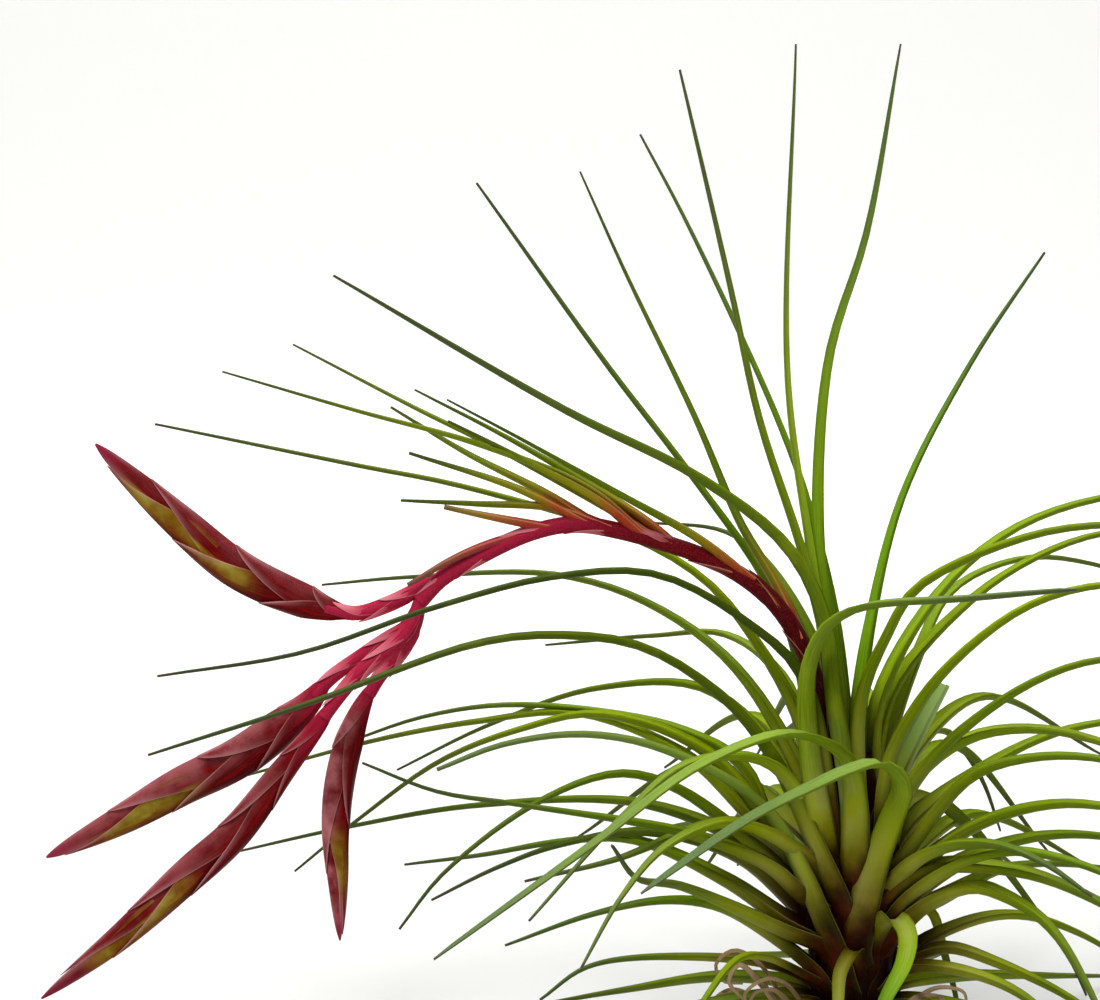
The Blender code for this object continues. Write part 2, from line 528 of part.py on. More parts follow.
def make_spike(name, material):
    size, foot, points = SPIKES[name]
    path = smooth_path(points, SPIKE_STEPS)
    along = tangents(path)
    thin = [(Vector((0, 1, 0)) - a * a.y).normalized() for a in along]
    broad = [a.cross(t).normalized() for a, t in zip(along, thin)]
    count = SPIKE_BRACTS[name]
    stations = range(0, SPIKE_STEPS - 3, 6)      # the core ends inside the last bract
    core_radii = [size * (0.9 + 0.5 * spike_outline(i / SPIKE_STEPS, foot)) for i in stations]
    core = add_object(name, tube_mesh([path[i] for i in stations], core_radii, 6))
    bracts = []
    for i in range(count):
        start = FLORAL_FIRST + FLORAL_SPAN * i / (count - 1)
        bracts.append(spike_bract(path, broad, thin, max(start, 0.0), min(start + FLORAL_LENGTH, 1.0),
                                  1 if i % 2 else -1, size, foot))
    unite(core, bracts, name)
    core.data.materials.append(material)
    return core


def make_rosette(material):
    draw = random.Random(SEED)
    shoot = turned("leaf_rosette", SHOOT, 14)
    meshes = []
    for name, (root_height, blade, points) in LEAVES.items():
        end_width = blade * BLUNT_LEAVES[name] if name in BLUNT_LEAVES else TIP_WIDTH
        meshes.append(leaf_mesh(root_height, blade, points, end_width, RIBBON_LEAVES.get(name, BLADE_TAPER)))
    for root_height, blade, points in rear_leaves(draw) + low_leaves(draw):
        meshes.append(leaf_mesh(root_height, blade, points, steps=RULED_STEPS))
    unite(shoot, meshes, "leaf")
    room = [(STALK[0][0], STALK[0][1], STALK[0][2] - GAP)] + STALK[1:]
    cut(shoot, stalk_mesh(room, STALK_RADIUS, STALK_STEPS, STALK_TAPER, GAP))
    keep_largest(shoot)
    shoot.data.materials.clear()
    shoot.data.materials.append(material)
    return shoot


def make_stem(material):
    stem = turned("stem_base", [(STEM_FOOT_RADIUS - 0.6, 0), (STEM_FOOT_RADIUS, 1.0), (STEM_FOOT_RADIUS, 6.0),
                                (STEM_RADIUS, STEM_TOP)], 16)
    stem.data.materials.append(material)


def make_scape(material):
    stalk = add_object("scape", stalk_mesh(STALK, STALK_RADIUS, STALK_STEPS, STALK_TAPER))
    meshes = []
    for points in BRANCHES.values():
        meshes.append(stalk_mesh(points, BRANCH_RADIUS, 6))
    for blade, points in STALK_BRACTS.values():
        path = smooth_path(points, BRACT_STEPS, 1.1)
        left = [1 - i / BRACT_STEPS for i in range(BRACT_STEPS + 1)]
        widths = [TIP_WIDTH + (blade - TIP_WIDTH) * rest ** BRACT_TAPER for rest in left]
        thicks = [TIP_THICK + (BRACT_THICK - TIP_THICK) * rest for rest in left]
        side = Vector((0, 0, 1)).cross(path[-1] - path[0]).normalized()
        meshes.append(skin(blade_rings(path, widths, thicks, side)))
    unite(stalk, meshes, "scape")
    keep_largest(stalk)
    stalk.data.materials.clear()
    stalk.data.materials.append(material)


def make_dry_leaves(material):
    """A thin collar of dead sheaths round the stem's foot, with the curled blades that still hang from it."""
    sides = 16
    outer = [[Vector(polar(COLLAR_OUTER, 360 * j / sides, z)) for j in range(sides)]
             for z in (COLLAR_BOTTOM, COLLAR_TOP)]
    collar = add_object("dry_leaves", skin(outer))
    inner = [[Vector(polar(COLLAR_INNER, 360 * j / sides, z)) for j in range(sides)]
             for z in (COLLAR_BOTTOM - 1, COLLAR_TOP + 1)]
    meshes = []
    for points in CURLS:
        path = smooth_path(points, CURL_STEPS)
        widths = [CURL_WIDTH * (1 - 0.6 * i / CURL_STEPS) for i in range(len(path))]
        side = Vector((0, 0, 1)).cross(Vector(points[2]) - Vector(points[0])).normalized()
        meshes.append(skin(blade_rings(path, widths, [CURL_THICK] * len(path), side)))
    unite(collar, meshes, "dry")
    cut(collar, skin(inner))
    keep_largest(collar)
    collar.data.materials.clear()
    collar.data.materials.append(material)


def main():
    clear_scene()
    make_stem(make_material("woody_stem", (0.10, 0.06, 0.04), 0.9))
    make_dry_leaves(make_material("withered_leaf", (0.42, 0.30, 0.18), 0.85))
    make_rosette(make_material("green_leaf", (0.16, 0.24, 0.06), 0.55))
    make_scape(make_material("red_stalk", (0.45, 0.03, 0.09), 0.5))
    bract = make_material("crimson_bract", (0.32, 0.02, 0.04), 0.45)
    for name in SPIKES:
        make_spike(name, bract)


main()
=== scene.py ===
# Dresses the plant: finer leaves, sheaths, bracts and stalk over the solids, with their finishes, a pale
# floor, soft light and the camera. Points are in millimetres, as in the source of the solids.

import json
import math
import random

import bmesh
import bpy
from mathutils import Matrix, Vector

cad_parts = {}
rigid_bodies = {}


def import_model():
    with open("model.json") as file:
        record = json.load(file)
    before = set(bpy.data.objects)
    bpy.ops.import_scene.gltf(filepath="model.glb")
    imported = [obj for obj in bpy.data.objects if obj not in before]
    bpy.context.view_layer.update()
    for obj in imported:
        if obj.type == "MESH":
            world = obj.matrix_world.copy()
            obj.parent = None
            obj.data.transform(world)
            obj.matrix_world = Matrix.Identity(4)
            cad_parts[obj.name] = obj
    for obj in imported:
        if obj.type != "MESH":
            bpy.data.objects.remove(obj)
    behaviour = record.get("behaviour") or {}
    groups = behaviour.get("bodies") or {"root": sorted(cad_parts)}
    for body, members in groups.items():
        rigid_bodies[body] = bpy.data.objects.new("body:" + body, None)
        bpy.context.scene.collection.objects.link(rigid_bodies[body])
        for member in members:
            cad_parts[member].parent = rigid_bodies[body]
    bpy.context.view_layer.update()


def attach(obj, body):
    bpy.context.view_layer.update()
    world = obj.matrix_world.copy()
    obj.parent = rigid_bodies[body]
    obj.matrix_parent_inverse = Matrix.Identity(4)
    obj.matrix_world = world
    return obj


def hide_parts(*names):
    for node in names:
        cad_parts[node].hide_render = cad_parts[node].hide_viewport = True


mm = 0.001
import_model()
print("solids loaded")


class Wire:                                # one node output, ready for sums
    def __init__(self, board, socket):
        self.board, self.socket = board, socket

    def op(self, operation, *parts):
        spatial = [isinstance(p, tuple) or isinstance(p, Wire) and p.socket.type == "VECTOR" for p in parts]
        if not any(spatial):
            return self.board.make("ShaderNodeMath", {"operation": operation}, dict(enumerate(parts)))
        if operation == "MULTIPLY" and not all(spatial):
            arrow, size = parts if spatial[0] else parts[::-1]
            return self.board.make("ShaderNodeVectorMath", {"operation": "SCALE"}, {0: arrow, "Scale": size})
        return self.board.make("ShaderNodeVectorMath", {"operation": operation}, dict(enumerate(parts)))

    def __add__(self, other):
        return self.op("ADD", self, other)

    def __radd__(self, other):
        return self.op("ADD", other, self)

    def __sub__(self, other):
        return self.op("SUBTRACT", self, other)

    def __rsub__(self, other):
        return self.op("SUBTRACT", other, self)

    def __mul__(self, other):
        return self.op("MULTIPLY", self, other)

    def __rmul__(self, other):
        return self.op("MULTIPLY", other, self)

    def __truediv__(self, other):
        return self.op("DIVIDE", self, other)

    def __pow__(self, other):
        return self.op("POWER", self, other)

    def does(self, operation, *others):    # any one-name operation, such as SINE or MINIMUM
        return self.op(operation, self, *others)

    def ramp(self, low, high):             # 0 below low, 1 above high, smooth between; low may be the larger
        return self.board.make("ShaderNodeMapRange", {"interpolation_type": "SMOOTHSTEP"},
                               {"Value": self, "From Min": low, "From Max": high})


class Board:                               # one node tree
    def __init__(self, tree):
        self.tree = tree

    def pick(self, sockets, key):
        if isinstance(key, int):
            return sockets[key]
        return next(s for s in sockets if s.name == key and not s.is_unavailable)

    def make(self, kind, settings=None, inputs=None, out=0):
        node = self.tree.nodes.new(kind)
        for name, value in (settings or {}).items():
            setattr(node, name, value)
        for key, value in (inputs or {}).items():
            socket = self.pick(node.inputs, key)
            if isinstance(value, Wire):
                self.tree.links.new(value.socket, socket)
            else:
                socket.default_value = value
        return Wire(self, self.pick(node.outputs, out))

    def readsAll(self, names):
        return [self.reads(name) for name in names.split()]


class GeometryBoard(Board):                # a Geometry Nodes tree with named inputs
    kinds = {int: "NodeSocketInt", float: "NodeSocketFloat", bpy.types.Material: "NodeSocketMaterial"}

    def __init__(self, name, **inputs):
        super().__init__(bpy.data.node_groups.new(name, "GeometryNodeTree"))
        self.ids = {}
        face = self.tree.interface
        face.new_socket("geometry", in_out="INPUT", socket_type="NodeSocketGeometry")
        face.new_socket("geometry", in_out="OUTPUT", socket_type="NodeSocketGeometry")
        for key, value in inputs.items():
            kind = "NodeSocketMaterial" if value is None else self.kinds[type(value)]
            socket = face.new_socket(key, in_out="INPUT", socket_type=kind)
            if value is not None:
                socket.default_value = value
            self.ids[key] = socket.identifier
        self.entry = self.tree.nodes.new("NodeGroupInput")

    def asks(self, name):                  # a named input
        return Wire(self, self.entry.outputs[name])

    def node(self, kind, inputs=None, out=0, **settings):      # a geometry node, by its type without the prefix
        return self.make("GeometryNode" + kind, settings, inputs, out)

    def reads(self, name, kind="FLOAT"):   # an attribute on the geometry
        return self.node("InputNamedAttribute", {"Name": name}, "Attribute", data_type=kind)

    def stores(self, geometry, kind="FLOAT", **values):
        for name, value in values.items():
            geometry = self.node("StoreNamedAttribute", {"Geometry": geometry, "Name": name, "Value": value},
                                 data_type=kind, domain="POINT")
        return geometry

    def tube(self, curve, sides, radius=mm):     # sweeps a round profile that carries its angle as "ring"
        ring = self.node("CurvePrimitiveCircle", {"Resolution": sides, "Radius": radius})
        turn = self.node("SplineParameter", out="Factor") * math.tau
        ring = self.stores(ring, ring=turn)
        return self.node("CurveToMesh", {"Curve": curve, "Profile Curve": ring, "Fill Caps": True})

    def ends(self, geometry):
        whole = self.node("RealizeInstances", {"Geometry": geometry})
        smooth = self.node("SetShadeSmooth", {"Geometry": whole})
        painted = self.node("SetMaterial", {"Geometry": smooth, "Material": self.asks("finish")})
        self.tree.links.new(painted.socket, self.tree.nodes.new("NodeGroupOutput").inputs[0])

    def run(self, name, lines, **values):  # makes one piece from lines of points and turns it into plain mesh
        obj = added(name, lineMesh(name, lines))
        modifier = obj.modifiers.new(self.tree.name, "NODES")
        modifier.node_group = self.tree
        for key, value in values.items():
            modifier[self.ids[key]] = value
        bpy.context.view_layer.update()
        mesh = bpy.data.meshes.new_from_object(obj.evaluated_get(bpy.context.evaluated_depsgraph_get()))
        obj.modifiers.clear()
        obj.data = mesh
        shell = bmesh.new()
        shell.from_mesh(mesh)
        bmesh.ops.recalc_face_normals(shell, faces=shell.faces)
        shell.to_mesh(mesh)
        shell.free()
        print(name, "made with", len(mesh.polygons), "faces")
        return obj


def added(name, data):                     # a new object in the scene
    obj = bpy.data.objects.new(name, data)
    bpy.context.scene.collection.objects.link(obj)
    return obj


def lineMesh(name, lines):                 # each line is a list of points and a dictionary of point attributes
    mesh = bpy.data.meshes.new(name)
    points, edges, columns = [], [], {}
    for path, attributes in lines:
        edges += [(len(points) + i, len(points) + i + 1) for i in range(len(path) - 1)]
        points += [p * mm for p in path]
        for key, column in attributes.items():
            columns.setdefault(key, []).extend(column)
    mesh.from_pydata(points, edges, [])
    for key, column in columns.items():
        if isinstance(column[0], Vector):
            flat = [x for vector in column for x in vector]
            mesh.attributes.new(key, "FLOAT_VECTOR", "POINT").data.foreach_set("vector", flat)
        else:
            mesh.attributes.new(key, "FLOAT", "POINT").data.foreach_set("value", column)
    return mesh


def smoothPath(points, steps, crowd=1.0):  # even steps along a curve; crowd above 1 packs them to the start
    given = [Vector(p) for p in points]
    given = [given[0] * 2 - given[1]] + given + [given[-1] * 2 - given[-2]]
    fine, cuts = [], 12                    # cuts from each given point to the next
    for before, start, end, after in zip(given, given[1:], given[2:], given[3:]):
        fine += [catmull(before, start, end, after, i / cuts) for i in range(cuts)]
    fine.append(given[-2])
    lengths = reaches(fine)
    path, k = [], 0
    for i in range(steps + 1):
        target = lengths[-1] * (i / steps) ** crowd
        while k < len(fine) - 2 and lengths[k + 1] < target:
            k += 1
        part = (target - lengths[k]) / (lengths[k + 1] - lengths[k])
        path.append(fine[k].lerp(fine[k + 1], min(max(part, 0), 1)))
    return path


def catmull(p0, p1, p2, p3, t):            # centripetal, so it never loops between uneven points
    t1 = math.sqrt((p1 - p0).length)
    t2 = t1 + math.sqrt((p2 - p1).length)
    t3 = t2 + math.sqrt((p3 - p2).length)
    u = t1 + (t2 - t1) * t
    a1 = p0 * ((t1 - u) / t1) + p1 * (u / t1)
    a2 = p1 * ((t2 - u) / (t2 - t1)) + p2 * ((u - t1) / (t2 - t1))
    a3 = p2 * ((t3 - u) / (t3 - t2)) + p3 * ((u - t2) / (t3 - t2))
    b1 = a1 * ((t2 - u) / t2) + a2 * (u / t2)
    b2 = a2 * ((t3 - u) / (t3 - t1)) + a3 * ((u - t1) / (t3 - t1))
    return b1 * ((t2 - u) / (t2 - t1)) + b2 * ((u - t1) / (t2 - t1))


def reaches(path):                         # length from the start to each point
    lengths = [0.0]
    for a, b in zip(path, path[1:]):
        lengths.append(lengths[-1] + (b - a).length)
    return lengths


def polar(radius, degrees, height):
    angle = math.radians(degrees)
    return (radius * math.cos(angle), radius * math.sin(angle), height)


fullSheathLength = 60                      # a shorter blade has a narrower sheath
footCrowd = 1.15                           # packs a blade's steps towards its sheath


def bladeLine(points, blade, tip, steps, clasp=None, spin=0.0, taper=0.75, inroll=1.0, **looks):
    # a blade's midrib, with its sideways and upward directions and its widths at each point
    path = smoothPath(points, steps, footCrowd)
    lengths = reaches(path)
    lean = Vector((points[-1][0], points[-1][1], 0)) - path[0]
    side = Vector((0, 0, 1)).cross(lean).normalized()
    last = len(path) - 1
    sides, ups = [], []
    for i in range(last + 1):
        along = (path[min(i + 1, last)] - path[max(i - 1, 0)]).normalized()
        across = (side - along * side.dot(along)).normalized()
        up = along.cross(across)
        turn = math.radians(spin) * i / last
        sides.append(across * math.cos(turn) + up * math.sin(turn))
        ups.append(up * math.cos(turn) - across * math.sin(turn))
    flat = {"blade": blade * mm, "tip": tip * mm, "whole": lengths[-1] * mm, "taper": taper, "inroll": inroll,
            "clasp": min(1.0, lengths[-1] / fullSheathLength) if clasp is None else clasp, **looks}
    attributes = {key: [value] * (last + 1) for key, value in flat.items()}
    attributes |= {"reach": [x * mm for x in lengths], "side": sides, "up": ups}
    return path, attributes


def bladeTree():
    # sweeps a channelled blade along every line: a broad clasping sheath that narrows to a fine point
    g = GeometryBoard("channelled blades", sides=12, sheathWidth=7.2 * mm, sheathReach=36 * mm,
                      sheathThick=1.0 * mm, bladeThick=0.85 * mm, tipThick=0.5 * mm, fold=0.9, sheathFold=1.3,
                      finish=None)
    reach, whole, tip, blade = g.readsAll("reach whole tip blade")
    rest = (1 - reach / whole).does("MAXIMUM", 0.0) ** g.reads("taper")
    sheath = ((reach / g.asks("sheathReach")) ** 2 * -1).does("EXPONENT")
    width = tip + (blade - tip) * rest
    width = width + (g.asks("sheathWidth") - width) * sheath * g.reads("clasp")
    thick = g.asks("tipThick") + (g.asks("bladeThick") - g.asks("tipThick")) * rest
    thick = thick + (g.asks("sheathThick") - thick) * sheath
    fold = g.asks("fold") * g.reads("inroll")
    fold = fold + (g.asks("sheathFold") - fold) * sheath
    ribs = g.stores(g.asks("geometry"), width=width, thick=thick, bend=fold, along=reach / whole)
    centre = g.node("InputPosition")
    ribs = g.stores(ribs, "FLOAT_VECTOR", centre=centre)
    tube = g.tube(g.node("MeshToCurve", {"Mesh": ribs}), g.asks("sides"))
    ring, bend = g.reads("ring"), g.reads("bend")
    across, face = ring.does("COSINE"), ring.does("SINE")
    tube = g.stores(tube, across=across, face=face)
    across, face = g.reads("across"), g.reads("face")
    half = g.reads("width") * 0.5 / bend.does("SINE")
    out = half * (across * bend).does("SINE")
    keel = face.does("MINIMUM", 0.0) * (1 - across.does("ABSOLUTE")) * 0.5
    rise = half * (1 - (across * bend).does("COSINE")) + g.reads("thick") * 0.5 * (face + keel)
    place = (g.reads("centre", "FLOAT_VECTOR") + g.reads("side", "FLOAT_VECTOR") * out
             + g.reads("up", "FLOAT_VECTOR") * rise)
    g.ends(g.node("SetPosition", {"Geometry": tube, "Position": place}))
    return g


def bractTree():
    # lays folded bracts in two ranks along a line: each one's keel runs up a margin of the flat spike, and its
    # free edge crosses the face slantwise, over the foot of the next
    g = GeometryBoard("two-ranked bracts", count=8, sides=20, steps=18, first=0.02, span=0.7, length=0.36,
                      breadth=4.0 * mm, thick=2.1 * mm, core=1.1 * mm, coreEnd=1.0, slim=0.0, coreSlim=0.0,
                      taper=1.0, foot=0.15, flare=0.2 * mm, patchFrom=0.5, patchTo=0.9, bloom=0.0, seed=1.0,
                      finish=None)
    axis = g.node("MeshToCurve", {"Mesh": g.asks("geometry")})
    rail = g.node("CurvePrimitiveLine", {"End": (0.0, 0.0, 1.0)})
    rail = g.node("ResampleCurve", {"Curve": rail, "Count": g.asks("steps")})
    rail = g.stores(rail, v=g.node("SplineParameter", out="Factor"))
    blank = g.tube(rail, g.asks("sides"))
    feet = g.node("MeshLine", {"Count": g.asks("count"), "Offset": (0.0, 0.0, 0.0)})
    feet = g.stores(feet, bract=g.node("InputIndex"))
    bracts = g.node("InstanceOnPoints", {"Points": feet, "Instance": blank})
    bracts = g.node("RealizeInstances", {"Geometry": bracts})

    v, ring, bract = g.readsAll("v ring bract")
    luck = g.make("ShaderNodeTexWhiteNoise", {"noise_dimensions": "1D"},
                  {"W": bract + g.asks("seed") * 7.31}, "Value")
    flank = bract.does("MODULO", 2.0) * 2 - 1    # which of the two ranks: -1 or 1
    start = g.asks("first") + g.asks("span") * bract / (g.asks("count") - 1.0)
    end = (start + g.asks("length") * (luck * 0.12 + 0.94)).does("MINIMUM", 1.0)
    start = start.does("MAXIMUM", 0.0)
    s = start + v * (end - start)
    close = s.ramp(0.7, 0.95) * end.ramp(0.96, 1.0) * g.asks("taper")      # the last bract wraps the tip
    q = (1 - ring.does("COSINE")) * 0.5          # 0 at the keel, 1 at the free edge
    front = ring.does("SINE").does("SIGN")
    # the spike's outline: 1 at its broadest, narrower at the foot and pointed at the tip
    swell = ((s * 0.86 + 0.14) ** 0.93 * math.pi).does("SINE").does("MAXIMUM", 0.0) ** 0.6
    swell = swell.does("MAXIMUM", 0.06) * ((s / g.asks("foot")).does("MINIMUM", 1.0) * 0.45 + 0.55)
    swell = (1 + (swell - 1) * g.asks("taper")) * (1 - s * g.asks("slim"))
    breadth = g.asks("breadth") * swell * (v * 2 + 0.6).does("MINIMUM", 1.0)
    flare = g.asks("flare") * v ** 5 * (1 - close)
    outer = breadth * (v * 0.02 + 1) + flare
    inner = breadth * (v ** 1.5 * (1.8 - close * 1.75) - 0.82) + flare
    bulge = (1 - (1 - q) ** 2).does("MAXIMUM", 0.0) ** 0.6
    depth = g.asks("thick") * (swell * 0.75 + 0.25) * (v * 0.42 + 0.66) * (1 - v ** 14 * 0.7) * bulge * front
    wide = (outer + (inner - outer) * q) * flank
    patchFrom, patchTo, fade = g.asks("patchFrom"), g.asks("patchTo"), 0.14
    patch = s.ramp(patchFrom, patchFrom + fade) * s.ramp(patchTo, patchTo - fade)
    bracts = g.stores(bracts, q=q, s=s, flank=flank, tone=luck, lie=wide / g.asks("breadth"), patch=patch,
                      bloom=g.asks("bloom"), wide=wide, depth=depth)

    q, s, wide, depth = g.readsAll("q s wide depth")
    sample = {"Curves": axis, "Factor": s}
    spot = g.node("SampleCurve", sample, "Position", mode="FACTOR")
    along = g.node("SampleCurve", sample, "Tangent", mode="FACTOR")
    lean = g.make("ShaderNodeVectorMath", {"operation": "DOT_PRODUCT"}, {0: along, 1: (0.0, 1.0, 0.0)}, "Value")
    thin = ((0.0, 1.0, 0.0) - along * lean).does("NORMALIZE")
    broad = along.does("CROSS_PRODUCT", thin)
    bracts = g.node("SetPosition", {"Geometry": bracts, "Position": spot + broad * wide + thin * depth})

    heart = g.node("TrimCurve", {"Curve": axis, "End": g.asks("coreEnd")})
    slimmer = 1 - g.node("SplineParameter", out="Factor") * g.asks("coreSlim")
    heart = g.node("SetCurveRadius", {"Curve": heart, "Radius": slimmer})
    heart = g.tube(heart, 10, g.asks("core"))
    heart = g.stores(heart, q=0.5, v=0.3, s=0.2, tone=0.5, flank=1.0, lie=0.0, patch=0.0, bloom=0.0)
    g.ends(g.node("JoinGeometry", {"Geometry": bracts}))
    join = next(n for n in g.tree.nodes if n.bl_idname == "GeometryNodeJoinGeometry")
    g.tree.links.new(heart.socket, join.inputs[0])
    return g


def rgb(r, g, b):                          # screen colour, 0 to 255, as light
    return tuple(((c / 255 + 0.055) / 1.055) ** 2.4 if c > 10 else c / 3295 for c in (r, g, b)) + (1.0,)


class Finish(Board):                       # a procedural material
    def __init__(self, name):
        self.material = bpy.data.materials.new(name)
        self.material.use_nodes = True
        super().__init__(self.material.node_tree)
        self.shader = self.tree.nodes["Principled BSDF"]

    def reads(self, name):
        return self.make("ShaderNodeAttribute", {"attribute_name": name}, None, "Fac")

    def place(self):
        return self.make("ShaderNodeTexCoord", None, None, "Object")

    def point(self, x, y, z):
        return self.make("ShaderNodeCombineXYZ", None, {0: x, 1: y, 2: z})

    def noise(self, where, scale, detail=3.0, rough=0.6):
        return self.make("ShaderNodeTexNoise", None, {"Vector": where, "Scale": scale, "Detail": detail,
                                                      "Roughness": rough}, "Fac")

    def blend(self, factor, first, second):
        return self.make("ShaderNodeMix", {"data_type": "RGBA"},
                         {"Factor": factor, "A": first, "B": second}, "Result")

    def coats(self, colour, *layers):      # lays one colour after another over the first, each through its mask
        for mask, shade in layers:
            colour = self.blend(mask, colour, shade if isinstance(shade, Wire) else rgb(*shade))
        return colour

    def ends(self, colour, roughness, height=None, strength=0.3, distance=0.2 * mm, **fixed):
        self.tree.links.new(colour.socket, self.shader.inputs["Base Color"])
        self.tree.links.new(roughness.socket, self.shader.inputs["Roughness"])
        if height:
            bump = self.make("ShaderNodeBump", None,
                             {"Height": height, "Strength": strength, "Distance": distance})
            self.tree.links.new(bump.socket, self.shader.inputs["Normal"])
        for name, value in {"Specular IOR Level": 0.04, **fixed}.items():
            self.shader.inputs[name].default_value = value
        return self.material


bladeSweep = bladeTree()
bractRanks = bractTree()
print("node trees built")


# The shoot that every leaf grows out of: radius and height pairs up its side
shootProfile = [(7.0, 8.3), (8.2, 14), (8.4, 26), (7.6, 38), (6.4, 48), (5.2, 57), (3.4, 64)]


def shootRadius(height):
    for (lowRadius, low), (highRadius, high) in zip(shootProfile, shootProfile[1:]):
        if height <= high:
            return lowRadius + (highRadius - lowRadius) * max(height - low, 0.0) / (high - low)
    return shootProfile[-1][0]


